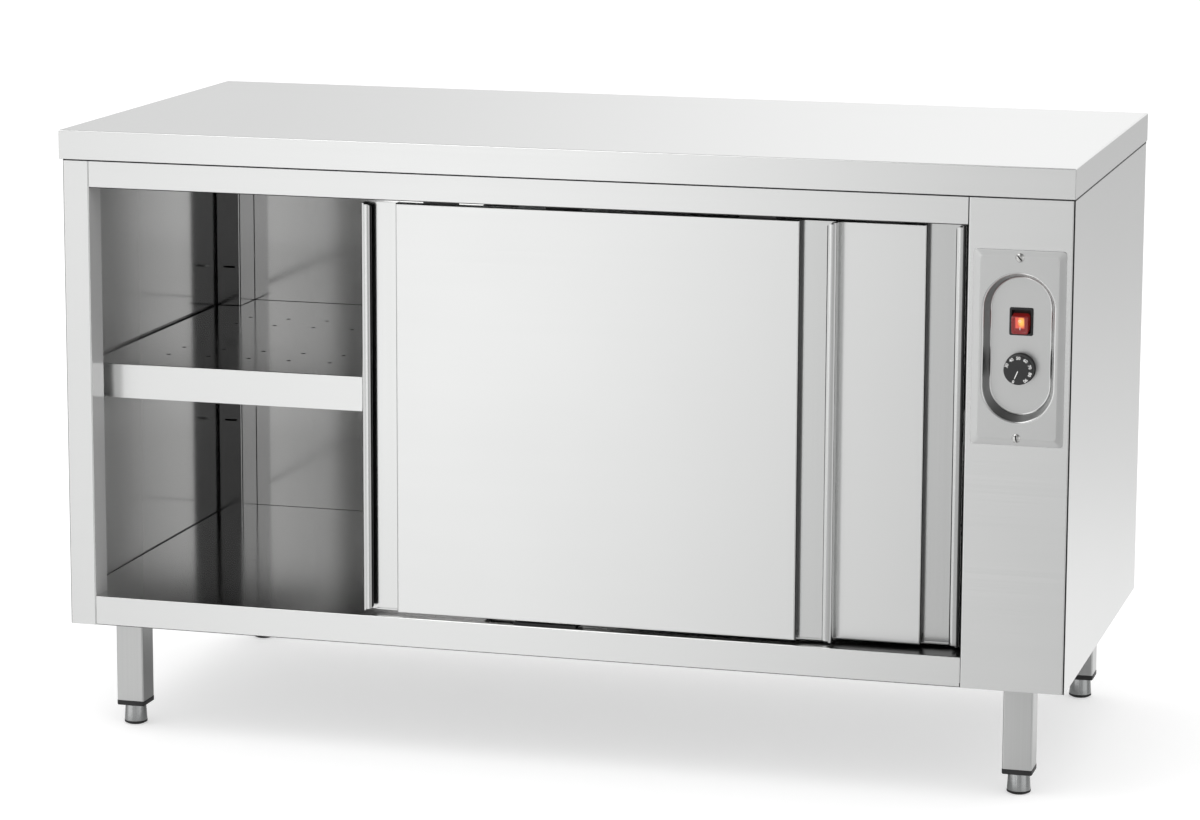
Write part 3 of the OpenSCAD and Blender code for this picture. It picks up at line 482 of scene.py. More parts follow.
# The plate's rounded folds get a paler, glossier copy of its finish, painted highlight, and its recess walls
# a darker one, painted shade.
painted_fold_light = textured("painted_fold_light", (0.72, 0.725, 0.72), (0.76, 0.76, 0.755), 0.16, 2400, 1.0, 0.01)
painted_recess_shade = textured("painted_recess_shade", (0.24, 0.24, 0.24), (0.28, 0.28, 0.28), 0.2, 2400, 1.0, 0.01)
foot_steel = textured("foot_steel", (0.42, 0.43, 0.43), (0.56, 0.56, 0.56), 0.2, 300, 1.0, 0.25, 0.2)
galvanised = textured("galvanised", (0.52, 0.54, 0.55), (0.70, 0.72, 0.73), 0.42, 90, 1.0, 0.1, 0.3)
hot_steel = textured("hot_steel", (0.20, 0.17, 0.15), (0.34, 0.30, 0.33), 0.45, 700, 1.0, 0.2, 0.2)

# %% The left wall is less metallic towards the opening, so diffuse light lightens it there: painted light
DULL_UP_TO = -0.28
BRIGHTENS_PER_METRE = 2.6
DULLEST = 0.4
tree = wall_steel_painted_light.node_tree
along = split(tree, tree.nodes["Texture Coordinate"].outputs["Object"])["Y"]
inwards = times(tree, plus(tree, along, -DULL_UP_TO), BRIGHTENS_PER_METRE, True)
metal = plus(tree, times(tree, inwards, 0.5), DULLEST)
tree.links.new(metal, tree.nodes["Principled BSDF"].inputs["Metallic"])

# %% The plastics and the rest
black_plastic = textured("black_plastic", (0.010, 0.010, 0.011), (0.03, 0.03, 0.031), 0.42)
cap_plastic = textured("cap_plastic", (0.012, 0.012, 0.013), (0.035, 0.035, 0.035), 0.5)
knob_plastic = textured("knob_plastic", (0.018, 0.018, 0.019), (0.035, 0.035, 0.036), 0.4, 1600)
pad_rubber = textured("pad_rubber", (0.010, 0.010, 0.010), (0.03, 0.03, 0.03), 0.65, 600)
roller_nylon = textured("roller_nylon", (0.72, 0.70, 0.64), (0.60, 0.58, 0.52), 0.35)
grey_phenolic = textured("grey_phenolic", (0.16, 0.16, 0.16), (0.24, 0.23, 0.22), 0.5)
ceramic = textured("ceramic", (0.72, 0.69, 0.62), (0.62, 0.58, 0.50), 0.4, 500)
motor_enamel = textured("motor_enamel", (0.05, 0.05, 0.055), (0.10, 0.10, 0.10), 0.35)
marking = textured("marking", (0.86, 0.86, 0.85), (0.72, 0.72, 0.71), 0.45)
print(len(bpy.data.materials), "materials")


# %% [markdown]
# ## The lit rocker's finish
# The real rocker is clear red plastic with a small lamp behind its middle. The light shows as a warm
# patch that fades to deep red at the edges. A soft-edged box around the rocker's middle drives both the
# colour and the emission, and a coat gives the polished face.

# %% Lamp plastic
def lamp_plastic(centre):
    finish, tree, shader, place = finish_start("lamp_plastic", 0.0)
    mapping = tree.nodes.new("ShaderNodeMapping")
    mapping.inputs["Location"].default_value = [-c for c in centre]
    tree.links.new(place, mapping.inputs["Vector"])
    apart = split(tree, mapping.outputs[0])
    masks = []
    # These are the half sizes of the lit window, and then the place and reach of the warm spot.
    for axis, half in (("X", 6.4), ("Z", 7.9)):
        away = calculate(tree, "ABSOLUTE", apart[axis], 0)
        masks.append(times(tree, minus(tree, half * MM, away), 1 / MM, True))
    window = times(tree, *masks)
    cooler = [calculate(tree, "POWER", times(tree, minus(tree, apart[axis], at * MM), 1 / (reach * MM)), 2)
              for axis, at, reach in (("X", 2.2, 5.5), ("Z", 1.0, 8.0))]
    spot = minus(tree, 1.0, plus(tree, *cooler), True)
    ripple = noise(tree, place, 420.0)
    spot = times(tree, spot, plus(tree, times(tree, ripple, 0.7), 0.65), True)
    lit = blend_colours(tree, times(tree, spot, window), (0.60, 0.10, 0.07), (1.0, 0.72, 0.12))
    glow = blend_colours(tree, window, (0.12, 0.006, 0.006), lit)
    plastic = blend_colours(tree, window, (0.13, 0.008, 0.008), (0.30, 0.03, 0.02))
    tree.links.new(plastic, shader.inputs["Base Color"])
    tree.links.new(glow, shader.inputs["Emission Color"])
    shader.inputs["Emission Strength"].default_value = 0.85
    tree.links.new(plus(tree, times(tree, ripple, 0.12), 0.12), shader.inputs["Roughness"])
    shader.inputs["Coat Weight"].default_value = 0.6
    shader.inputs["Coat Roughness"].default_value = 0.08
    return finish


# %% [markdown]
# ## Sheet pieces with real edges
# A folded sheet has a small radius at each fold, which the model already has, and its cut edges are
# deburred. The imported mesh is loose triangles, so a copy is merged and its flat faces are joined
# again. Some pieces then reach a little further, or are cut so that a narrow strip can take painted
# shade. A fine bevel breaks the cut edges, and smooth shading follows the folds.

# %% Where the strips with painted shade begin
SEAM_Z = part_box("worktop")[0].z - 3.2 * MM
SEAM_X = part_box("control_column")[1].x - 0.8 * MM
SILL_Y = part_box("rear_door_frame")[1].y
SILL_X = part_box("front_door_frame")[1].x
JOINT_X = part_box("floor_pan")[0].x + 2.4 * MM
JOINT_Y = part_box("rear_left_upright")[1].y - 2.0 * MM
X, Y, Z = (1, 0, 0), (0, 1, 0), (0, 0, 1)


# %% Small changes of shape
def reach_back(piece):
    """The real shelf reaches the back wall between the uprights and lies close to the left wall."""
    low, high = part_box("shelf")
    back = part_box("rear_left_upright")[1].y - 1.2 * MM
    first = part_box("rear_left_upright")[1].x + 1.5 * MM
    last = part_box("rear_right_upright")[0].x - 1.5 * MM
    for x in (first, first + 0.4 * MM, last - 0.4 * MM, last):
        cut_across(X, x)
    move(piece, lambda c, n: c.y > high.y - 17 * MM and first + 0.2 * MM < c.x < last - 0.2 * MM,
         (0, back - high.y, 0))
    move(piece, lambda c, n: c.x < low.x + 17 * MM, (-3 * MM, 0, 0))


def narrow_gaps(piece):
    """The upright stands close to the left wall, and a fine gap parts it from the back wall."""
    low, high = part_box("rear_left_upright")
    move(piece, lambda c, n: c.x < low.x + 5 * MM, (-2 * MM, 0, 0))
    move(piece, lambda c, n: c.y > high.y - 1.5 * MM, (0, -2 * MM, 0))


def raise_top(piece):
    """The front door's panel reaches nearer to the rail above it."""
    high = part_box("front_door_panel")[1]
    move(piece, lambda c, n: c.z > high.z - 5 * MM, (0, 0, 1.6 * MM))


def widen_lip(piece):
    """The rear door's right lip reaches nearer to the column."""
    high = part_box("rear_door_frame")[1]
    move(piece, lambda c, n: c.x > high.x - 17 * MM, (1.9 * MM, 0, 0))


def floor_strips(piece):
    """The sill under the doors and the narrow strips beside the walls, which get painted shade."""
    for axis, where in ((Y, SILL_Y), (Y, JOINT_Y), (X, SILL_X), (X, JOINT_X)):
        cut_across(axis, where)


def seam_strips(piece):
    """Narrow strips beside the seams, which get painted shade: no light reaches into the seams."""
    cut_across(Z, SEAM_Z)
    if piece.name.startswith("control_column"):
        cut_across(X, SEAM_X)


RESHAPED = {
    "shelf": reach_back, "rear_left_upright": narrow_gaps, "floor_pan": floor_strips,
    "front_door_panel": raise_top, "rear_door_frame": widen_lip, "top_rail": seam_strips,
    "control_column": seam_strips, "left_side_panel": seam_strips, "right_side_panel": seam_strips,
}


# %% Refined sheets
def refined(node, finish):
    piece = new_object(node + "_finished", NODES[node].data.copy())
    edit(piece)
    bpy.ops.mesh.customdata_custom_splitnormals_clear()
    bpy.ops.mesh.remove_doubles(threshold=2e-6)
    bpy.ops.mesh.dissolve_limited(angle_limit=math.radians(0.4))
    if node in RESHAPED:
        RESHAPED[node](piece)
    leave_edit()
    round_edges(piece, 0.2 * MM)
    smooth(piece)
    weigh(piece)
    dress(piece, finish, node)
    return piece


CORNERS = ("front_left", "front_right", "rear_left", "rear_right")
DOORS = ("front_door", "rear_door")
SHEETS = {
    "worktop": worktop_steel, "left_side_panel": outer_steel, "right_side_panel": outer_steel,
    "back_panel": chamber_steel, "floor_pan": chamber_steel, "top_rail": outer_steel,
    "control_column": outer_steel, "partition_wall": chamber_steel, "shelf": shelf_steel,
    "rear_left_upright": chamber_steel, "rear_right_upright": chamber_steel,
    **{door + "_frame": painted_lip_shade for door in DOORS}, **{door + "_panel": door_steel for door in DOORS},
    # The door track and hangers get near-black steel: painted shade.
    "door_track": painted_track_and_hanger_shade, "base_rails": galvanised, "worktop_stiffeners": galvanised,
    **{"leg_" + corner: leg_steel for corner in CORNERS},
    "bottom_guide": black_plastic, "shelf_clips": fitting_steel,
    **{door + "_hangers": painted_track_and_hanger_shade for door in DOORS},
    **{door + "_roller_" + side: roller_nylon for door in DOORS for side in ("left", "right")},
}
refined_pieces = {node: refined(node, finish) for node, finish in SHEETS.items()}
print(len(refined_pieces), "refined pieces")


# %% Second finishes
RAIL_BACK = -0.27          # The floor pan's front fold lies before this.
STILE_BACK = -0.3135       # The stile that is folded from the left side panel ends here.
WALL_INSIDE = -0.6965      # The left wall's inner side lies beyond this.
OUTER_X = 0.69             # The outer sides of the side panels lie beyond this.
SILL_FRONT = -0.314
SHELF_LIP_BACK = -0.25     # The shelf's front fold lies before this.
HOLES_INWARDS = 0.04       # The shelf's holes keep this far from its edges.


def second_finish(piece, finish, test):
    """Gives one more finish to the faces whose centre and normal pass the test."""
    piece.data.materials.append(finish)
    for face in piece.data.polygons:
        if test(face.center, face.normal):
            face.material_index = len(piece.data.materials) - 1


def partly(node, finish, test):
    second_finish(refined_pieces[node], finish, test)


# %% Satin fronts, the left wall's inside with painted light, and painted shade in seams and gaps
partly("floor_pan", outer_steel, lambda c, n: c.y < RAIL_BACK and n.z < 0.7)
partly("left_side_panel", wall_steel_painted_light,
       lambda c, n: c.y > STILE_BACK and (n.x > 0.5 or c.x > WALL_INSIDE))
for sheet in ("worktop", "top_rail", "control_column", "left_side_panel", "right_side_panel"):
    partly(sheet, painted_shade_steel, lambda c, n: n.z < -0.25
           or (sheet != "worktop" and c.z > SEAM_Z and (n.y < -0.5 or abs(c.x) > OUTER_X))
           or (sheet == "control_column" and c.x > SEAM_X and n.y < -0.5))
partly("floor_pan", painted_sill_shade,
       lambda c, n: n.z > 0.7 and SILL_FRONT < c.y < SILL_Y and c.x > SILL_X)
partly("floor_pan", painted_shade_steel, lambda c, n: (c.y < RAIL_BACK and n.z < -0.25)
       or (n.z > 0.7 and (c.y > JOINT_Y or c.x < JOINT_X)))
# The worktop's corner folds and the left stile's fold look diagonally forwards, and get painted shade.
partly("worktop", painted_shade_steel,
       lambda c, n: 0.25 < abs(n.x) < 0.97 and n.y < -0.2 and abs(n.z) < 0.3)
partly("left_side_panel", painted_shade_steel, lambda c, n: -0.97 < n.x < -0.2 and n.y < -0.2)
# Painted shade on the column's side towards the doors and on the right panel's front edge.
partly("control_column", painted_shade_steel, lambda c, n: n.x < -0.3)
partly("right_side_panel", painted_shade_steel, lambda c, n: n.y < -0.5)
for post in ("rear_left_upright", "rear_right_upright"):
    # The uprights' front faces get near-black steel and their side flanges a darker grey steel, both painted
    # shade on the chamber's steel.
    partly(post, painted_post_shade, lambda c, n: n.y < -0.7)
    partly(post, painted_flange_shade, lambda c, n: abs(n.x) > 0.7)
    partly(post, painted_lip_shade, lambda c, n: 0.12 < n.x < 0.97 and n.y < -0.2)

# %% Painted shade on the inner faces of the doors' lips, the sides of their panels and the walls of the shelf's holes, and the shelf's satin front
for door in DOORS:
    low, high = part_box(door + "_frame")
    skin = 0.9 * MM
    outermost = skin if door == "front_door" else -1 * MM
    partly(door + "_frame", painted_shade_steel, lambda c, n: low.y + 1.1 * MM < c.y < high.y - 1.3 * MM
           and (skin < c.x - low.x < 15 * MM or outermost < high.x - c.x < 13 * MM))
    partly(door + "_panel", painted_shade_steel, lambda c, n: abs(n.x) > 0.7)
low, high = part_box("shelf")
partly("shelf", outer_steel, lambda c, n: abs(n.y) > 0.7 and c.y < SHELF_LIP_BACK)
partly("shelf", painted_shade_steel, lambda c, n: abs(n.z) < 0.5 and c.z > high.z - 1.6 * MM
       and low.x + HOLES_INWARDS < c.x < high.x - HOLES_INWARDS
       and low.y + HOLES_INWARDS < c.y < high.y - HOLES_INWARDS)

# %% Finishes for the pieces that keep their model shape
KEPT = {
    "guide_screws": screw_steel, "thermostat": grey_phenolic, "thermostat_spindle": fitting_steel,
    "heater_box": galvanised, "heater_element": hot_steel, "fan_frame": black_plastic,
    "fan_motor": motor_enamel, "fan_impeller": black_plastic, "terminal_block": ceramic,
    "cable_gland": black_plastic,
}
for node, finish in KEPT.items():
    NODES[node].data.materials.clear()
    NODES[node].data.materials.append(finish)

# %% [markdown]
# ## The pressed control plate
# The real plate is one sheet, pressed so that its face stands out from the column and a deep oval
# recess protects the switch and the knob. Every edge of the pressing is rounded. The recess is spun as
# a round dish and then pulled apart into an oval. The raised face starts as a plane whose corners are
# bevelled. Its flat middle is deleted, and new faces fill the ring that is left around the recess.

# %% Sizes of the control plate
plate_low, plate_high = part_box("control_plate")
plate_mid = (plate_low + plate_high) / 2
FACE_Y = plate_low.y
RECESS_DEEP = plate_high.y - plate_low.y - 1.2 * MM
RAISE = 3 * MM
RECESS_R = 45.5 * MM
STRAIGHT = 101.4 * MM
PLATE_W, PLATE_H = plate_high.x - plate_low.x - 5.5 * MM, plate_high.z - plate_low.z
plate_centre = Vector((plate_mid.x, FACE_Y, plate_mid.z))


def from_oval(c):
    """The distance from the recess's long middle line, seen from the front."""
    return math.hypot(c.x - plate_mid.x, max(0, abs(c.z - plate_mid.z) - STRAIGHT / 2))


# %% The recess
depth, r = RECESS_DEEP / MM, RECESS_R / MM
dish_profile = ([(r + 3.7, 0)] + quarter(r + 3.2, -3.2, 3.2, 90, 172, 8)
                + quarter(r - 7.4, -depth + 2.6, 2.6, -8, -90, 7) + [(20, -depth), (0.0, -depth)])
plate = turned("control_plate_pressed", dish_profile, plate_centre, (0, -1, 0), 96, half_step=True)
edit(plate)
for sign in (1, -1):
    move(plate, lambda c, n: sign * (c.z - plate_centre.z) > 1e-6, (0, 0, sign * STRAIGHT / 2))
leave_edit()

# %% The raised face around it
bpy.ops.mesh.primitive_plane_add(size=1, location=(plate_mid.x, FACE_Y + RAISE, plate_mid.z),
                                 rotation=(math.pi / 2, 0, 0))
rim = bpy.context.object
rim.scale = (PLATE_W, PLATE_H, 1)
settle(rim)
edit(rim)
bpy.ops.mesh.bevel(offset=4.5 * MM, segments=6, affect="VERTICES")
terrace(rim, plate_centre, PLATE_W / 2, PLATE_H / 2,
        ((0.1, 0.95), (0.35, 0.5), (1.2, 0.16), (1.6, 0.28), (1.6, 0.32), (1.3, 0.26), (1.0, 0.2),
         (0.8, 0.15), (0.6, 0.1), (0.5, 0.06), (0.4, 0.02)))
choose(rim, "faces", lambda c, n: abs(n.y) > 0.99 and abs(c.x - plate_mid.x) < 1e-4
       and abs(c.z - plate_mid.z) < 1e-4)
bpy.ops.mesh.delete(type="FACE")
leave_edit()

# %% Joining face and recess
join(plate, rim)
edit(plate, everything=False)
bpy.ops.mesh.select_mode(type="EDGE")
bm = bmesh.from_edit_mesh(plate.data)
for edge in bm.edges:
    edge.select_set(edge.is_boundary and all(abs(v.co.y - FACE_Y) < 1e-5 for v in edge.verts))
bmesh.update_edit_mesh(plate.data)
old_faces = len(bm.faces)
bpy.ops.mesh.fill(use_beauty=True)
bpy.ops.mesh.select_mode(type="FACE")
bpy.ops.mesh.select_all(action="DESELECT")
bm = bmesh.from_edit_mesh(plate.data)
bm.faces.ensure_lookup_table()
for patch in bm.faces[old_faces:]:
    patch.select_set(from_oval(patch.calc_center_median()) < RECESS_R + 3.68 * MM)
bmesh.update_edit_mesh(plate.data)
bpy.ops.mesh.delete(type="ONLY_FACE")
bpy.ops.mesh.select_all(action="SELECT")
bpy.ops.mesh.normals_make_consistent(inside=False)
if sum(f.calc_area() * f.normal.y for f in bmesh.from_edit_mesh(plate.data).faces) > 0:
    bpy.ops.mesh.flip_normals()
leave_edit()

# %% The sheet's thickness and its openings
EDGE_X, EDGE_Z = 53.5 * MM, 105 * MM
thickness = plate.modifiers.new("sheet", "SOLIDIFY")
thickness.thickness = 1.0 * MM
thickness.offset = -1
only(plate)
bpy.ops.object.modifier_apply(modifier="sheet")
edit(plate)
# The back of the sheet's outer edge is laid flat against the column.
choose(plate, "verts", lambda c, n: c.y > FACE_Y + RAISE and (
    abs(c.x - plate_mid.x) > EDGE_X or abs(c.z - plate_mid.z) > EDGE_Z))
bpy.ops.transform.resize(value=(1, 0, 1), center_override=(plate_mid.x, FACE_Y + RAISE, plate_mid.z))
leave_edit()
knob_low, knob_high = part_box("temperature_knob")
knob_mid = (knob_low + knob_high) / 2
rocker_mid = sum(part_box("switch_rocker"), Vector()) / 2
floor_y = FACE_Y + RECESS_DEEP
subtract(plate, cuboid("opening", (plate_mid.x, floor_y, rocker_mid.z), (27.8 * MM, 8 * MM, 33.4 * MM)))
subtract(plate, turned("bore", [(0, -5), (4.2, -5), (4.2, 5), (0, 5)], (plate_mid.x, floor_y, knob_mid.z),
                       (0, -1, 0), 32))
smooth(plate, 40)
weigh(plate)
dress(plate, plate_steel, "control_plate")
# Painted highlight on the recess's rounded folds and painted shade on its walls.
second_finish(plate, painted_fold_light, lambda c, n: c.y > FACE_Y + 0.1 * MM and abs(n.y) < 0.97
              and from_oval(c) < RECESS_R + 3.7 * MM)
second_finish(plate, painted_recess_shade, lambda c, n: c.y > FACE_Y + 2 * MM and abs(n.y) < 0.5
              and from_oval(c) < RECESS_R + 1.5 * MM)
flat = sum(f.area for f in plate.data.polygons if abs(f.center.y - FACE_Y) < 1e-5 and f.normal.y < -0.9)
print("flat face", round(flat * 1e6), "mm2 of the plate")

# %% [markdown]
# ## The plate's screws
# Two round-head screws hold the plate. Their domed heads are spun from a profile, and the slot is cut
# with a boolean, as a saw would. The two slots are turned differently, because nobody lines up screws.

# %% Screws
HEAD_R, HEAD_H = 6.0, 2.9


def screw(label, z, turn):
    ball = (HEAD_R ** 2 + HEAD_H ** 2) / (2 * HEAD_H)
    angle = math.degrees(math.asin(HEAD_R / ball))
    profile = ([(0, -12), (1.9, -12), (1.9, 0), (HEAD_R - 0.2, 0)]
               + quarter(0, HEAD_H - ball, ball, 90 - angle, 90, 8))
    head = turned("plate_screw_" + label, profile, (plate_mid.x, FACE_Y, z), (0, -1, 0), 48)
    subtract(head, cuboid("slot", (plate_mid.x, FACE_Y - HEAD_H * MM, z), (14 * MM, 2.8 * MM, 1.7 * MM),
                          math.radians(turn)))
    round_edges(head, 0.12 * MM)
    return head


screw_low, screw_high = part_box("plate_screws")
screws = join(screw("top", screw_high.z - 5.7 * MM, 48), screw("bottom", screw_low.z + 5.7 * MM, 80),
              name="plate_screws_finished")
smooth(screws, 30)
dress(screws, screw_steel, "plate_screws")
# The slots' floors and walls get painted shade.
second_finish(screws, painted_shade_steel, lambda c, n: FACE_Y - 2.8 * MM < c.y < FACE_Y - 1.3 * MM
              and (n.y < -0.999 or abs(n.y) < 0.05))

# %% [markdown]
# ## The temperature knob
# The real knob is a moulded disc with a fine grip round its rim and white numbers on its face, from
# 30 to 90 and a 0, with a white pointer. The body is spun from a profile. The numbers are text set
# round the face and made into a mesh, almost flush with it, like printing.

# %% Knob body
knob_r = (knob_high.x - knob_low.x) / 2 / MM
knob_d = (knob_high.y - knob_low.y) / MM
knob_foot = Vector((knob_mid.x, knob_high.y, knob_mid.z))
knob_profile = ([(3.05, 0.0), (knob_r - 0.6, 0.0)] + quarter(knob_r - 0.6, 0.6, 0.6, -90, 0, 3)
                + quarter(knob_r - 0.6, 2.2, 0.6, 0, 70, 3) + [(knob_r - 0.9, 3.1)]
                + [(knob_r - 1.2, knob_d - 1.7)] + quarter(knob_r - 2.6, knob_d - 1.4, 1.4, 10, 90, 6)
                + [(knob_r - 4.2, knob_d), (2.0, knob_d), (0.0, knob_d)])
RIB_TOP, RIB_FOOT = knob_high.y - 15.2 * MM, knob_high.y - 3.6 * MM
RIM_FACES = 120
knob = turned("knob_body", knob_profile, knob_foot, (0, -1, 0), RIM_FACES)
step = 2 * math.pi / RIM_FACES
edit(knob)
choose(knob, "faces", lambda c, n: RIB_TOP < c.y < RIB_FOOT and abs(n.y) < 0.2 and
       round((math.atan2(c.z - knob_mid.z, c.x - knob_mid.x) - step / 2) / step) % 2 == 0)
bpy.ops.mesh.inset(thickness=0.12 * MM, depth=-0.22 * MM, use_individual=True)
leave_edit()
smooth(knob, 30)
dress(knob, knob_plastic, "temperature_knob")

# %% Knob numbers and pointer
INK = 0.03 * MM


def mark(text, clock_angle, distance, height):
    """A number on the knob's face, its top pointing outwards. clock_angle is clockwise from the top."""
    bpy.ops.object.text_add()
    number = bpy.context.object
    number.data.body = text
    number.data.align_x, number.data.align_y = "CENTER", "CENTER"
    number.data.size = height * 1.35
    number.data.extrude = 0.08 * MM
    number.data.offset = height * 0.012
    number.data.resolution_u = 3
    bpy.ops.object.convert(target="MESH")
    number = bpy.context.object
    upright = Matrix.Rotation(math.pi / 2, 4, "X")
    turn = Matrix.Rotation(math.radians(clock_angle), 4, "Y")
    number.matrix_world = (Matrix.Translation((knob_mid.x, knob_low.y - INK, knob_mid.z)) @ turn
                           @ Matrix.Translation((0, 0, distance)) @ upright)
    return settle(number)


NUMBER_ANGLES = {"30": -69, "40": -34, "50": 0, "60": 36, "70": 71, "80": 107, "90": 142, "0": 202}
numbers = [mark(text, angle, knob_r * 0.78 * MM, 4.3 * MM) for text, angle in NUMBER_ANGLES.items()]


def pointer():
    line = cuboid("pointer", (knob_mid.x, knob_low.y - INK, knob_mid.z - 6.6 * MM), (MM, 0.16 * MM, 11 * MM))
    edit(line)
    round_corners(line, 1, 0.45, 3)
    leave_edit()
    line.matrix_world = (Matrix.Translation(knob_mid) @ Matrix.Rotation(math.radians(22), 4, "Y")
                         @ Matrix.Translation(-knob_mid))
    return settle(line)


knob_numbers = join(pointer(), *numbers, name="knob_numbers")
close_up(knob_numbers)
dress(knob_numbers, marking, "temperature_knob", hides=False)

# %% [markdown]
# ## The rocker switch
# The housing is a black moulded block behind a bezel with rounded edges. The rocker is a tall cap of
# clear red plastic that stands out of the bezel, with its top end out, and its lamp lights a window in
# the middle. It carries a ring and a line for off and on. Both pieces start as blocks: their corners are
# bevelled, and the front face is raised in small steps that round its edge.

# %% Housing
switch_low, switch_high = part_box("switch_housing")
switch_mid = (switch_low + switch_high) / 2
BEZEL_FRONT = switch_low.y


def housing():
    half_w, half_h = (switch_high.x - switch_low.x) / 2, (switch_high.z - switch_low.z) / 2
    bezel = block("switch_housing_finished", (switch_low.x, BEZEL_FRONT + 1.6 * MM, switch_low.z),
                  (switch_high.x, BEZEL_FRONT + 2.2 * MM, switch_high.z))
    edit(bezel)
    round_corners(bezel, 1, 2.4, 6)
    terrace(bezel, switch_mid, half_w, half_h, (
        (0.05, 0.6), (0.25, 0.5), (0.45, 0.35), (0.6, 0.15), (1.4, 0.0), (0.25, -0.2), (0.15, -13.0)))
    choose(bezel, "faces", lambda c, n: n.y > 0.99 and BEZEL_FRONT + 2 * MM < c.y < BEZEL_FRONT + 3 * MM)
    bpy.ops.mesh.inset(thickness=1.7 * MM)
    bpy.ops.mesh.extrude_region_move(TRANSFORM_OT_translate={"value": (0, 25 * MM, 0)})
    leave_edit()
    tabs = [cuboid("tab", (switch_mid.x + x * MM, switch_high.y - 4.5 * MM, switch_mid.z + z * MM),
                   (0.8 * MM, 9 * MM, 6.3 * MM)) for x in (-7, 7) for z in (-8, 8)]
    for tab in tabs:
        round_edges(tab, 0.15 * MM)
    return join(bezel, *tabs)


housing_piece = housing()
smooth(housing_piece)
dress(housing_piece, black_plastic, "switch_housing")

# %% Rocker
ROCKER_TILT = math.radians(10)
PROUD = 15.6 * MM
pivot = Vector((switch_mid.x, BEZEL_FRONT + 6.2 * MM, switch_mid.z))


def rocker():
    half_w, half_h = 10.9 * MM, 11.9 * MM
    middle = pivot + Vector((-0.5 * MM, 0, -0.9 * MM))
    cap = block("switch_rocker_finished", (middle.x - half_w, middle.y - PROUD, middle.z - half_h),
                (middle.x + half_w, middle.y - 1.0 * MM, middle.z + half_h))
    edit(cap)
    round_corners(cap, 1, 2.6, 6)
    terrace(cap, middle, half_w, half_h, (
        (0.08, 0.45), (0.25, 0.4), (0.4, 0.25), (0.5, 0.1), (0.9, 0.0), (0.35, -0.25), (0.3, -0.5),
        (0.35, -0.2), (0.9, 0.05)))
    leave_edit()
    skirt = cuboid("skirt", pivot, (2 * half_w - 0.6 * MM, 6 * MM, 2 * half_h - 10 * MM))
    round_edges(skirt, 0.4 * MM)
    return join(cap, skirt)


def ring_and_line():
    face = pivot.y - PROUD - 0.25 * MM
    bpy.ops.mesh.primitive_torus_add(major_radius=1.5 * MM, minor_radius=0.3 * MM, major_segments=40,
                                     minor_segments=10, rotation=(math.pi / 2, 0, 0),
                                     location=(pivot.x, face, pivot.z + 5.2 * MM))
    ring = settle(bpy.context.object)
    line = block("line", (pivot.x - 0.4 * MM, face - 0.15 * MM, pivot.z - 7.2 * MM),
                 (pivot.x + 0.4 * MM, face + 0.3 * MM, pivot.z - 3.4 * MM))
    round_edges(line, 0.12 * MM)
    return join(ring, line, name="rocker_signs")


rocker_piece, signs = rocker(), ring_and_line()
tilt = Matrix.Translation(pivot) @ Matrix.Rotation(ROCKER_TILT, 4, "X") @ Matrix.Translation(-pivot)
for piece in (rocker_piece, signs):
    piece.matrix_world = tilt
    settle(piece)
    smooth(piece)
dress(rocker_piece, lamp_plastic(pivot), "switch_rocker")
dress(signs, marking, "switch_rocker", hides=False)

# %% [markdown]
# ## Leg caps and levelling feet
# Each leg is closed by a black moulded cap, and a foot screws into it. The foot is a metal cup with
# many narrow flats for a spanner, over a black pad. Cup, stem and pad are modelled once and copied to
# the other legs. The caps are made leg by leg and joined.

# %% One foot
def foot_cup(low, high):
    """The cup with its flats and the threaded stem, centred between the node's corners."""
    centre = (low + high) / 2
    cup_top = 28.8 * MM
    pitch = 1.5
    bpy.ops.mesh.primitive_cone_add(vertices=16, radius1=16.1 * MM, radius2=14.6 * MM,
                                    depth=cup_top - low.z,
                                    location=(centre.x, centre.y, (cup_top + low.z) / 2))
    cup = settle(bpy.context.object)
    edit(cup)
    round_corners(cup, 2, 0.9, 2)
    choose(cup, "faces", lambda c, n: n.z > 0.9)
    bpy.ops.mesh.bevel(offset=1.6 * MM, segments=4, affect="EDGES")
    choose(cup, "faces", lambda c, n: n.z > 0.99)
    bpy.ops.mesh.inset(thickness=4 * MM, depth=-0.6 * MM)
    leave_edit()
    height, top = cup_top / MM + 0.2, high.z / MM
    threads = [(0.0, cup_top / MM - 1), (4.9, cup_top / MM - 1)]
    while height < top - pitch:
        threads += [(4.95, height), (4.35, height + pitch / 2)]
        height += pitch
    threads += [(4.2, top - 0.5), (3.6, top), (0.0, top)]
    return join(cup, turned("stem", threads, (centre.x, centre.y, 0), Z, 32))


def foot_sole(low, high):
    centre = (low + high) / 2
    r, top = (high.x - low.x) / 2 / MM, high.z / MM
    profile = ([(0, 0), (r - 5.0, 0.0)] + quarter(r - 5.0, 2.4, 2.4, -90, -60, 2)
               + [(r - 1.0, 1.9)] + quarter(r - 1.2, 3.0, 1.2, -50, 0, 4) + [(r, top - 0.6)]
               + quarter(r - 0.6, top - 0.6, 0.6, 0, 90, 3) + [(0, top)])
    return turned("pad", profile, (centre.x, centre.y, 0), Z)


# %% Four feet
first_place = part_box("foot_front_left")[0]
cup = foot_cup(*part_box("foot_front_left"))
pad = foot_sole(*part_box("foot_pad_front_left"))
for corner in CORNERS:
    for source, name, angle, finish, node in (
            (cup, "foot_cup_", 30, foot_steel, "foot_"), (pad, "foot_sole_", 40, pad_rubber, "foot_pad_")):
        twin = new_object(name + corner, source.data.copy())
        twin.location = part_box("foot_" + corner)[0] - first_place
        settle(twin, name + corner)
        smooth(twin, angle)
        dress(twin, finish, node + corner)
for spare in (cup, pad):
    bpy.data.objects.remove(spare)


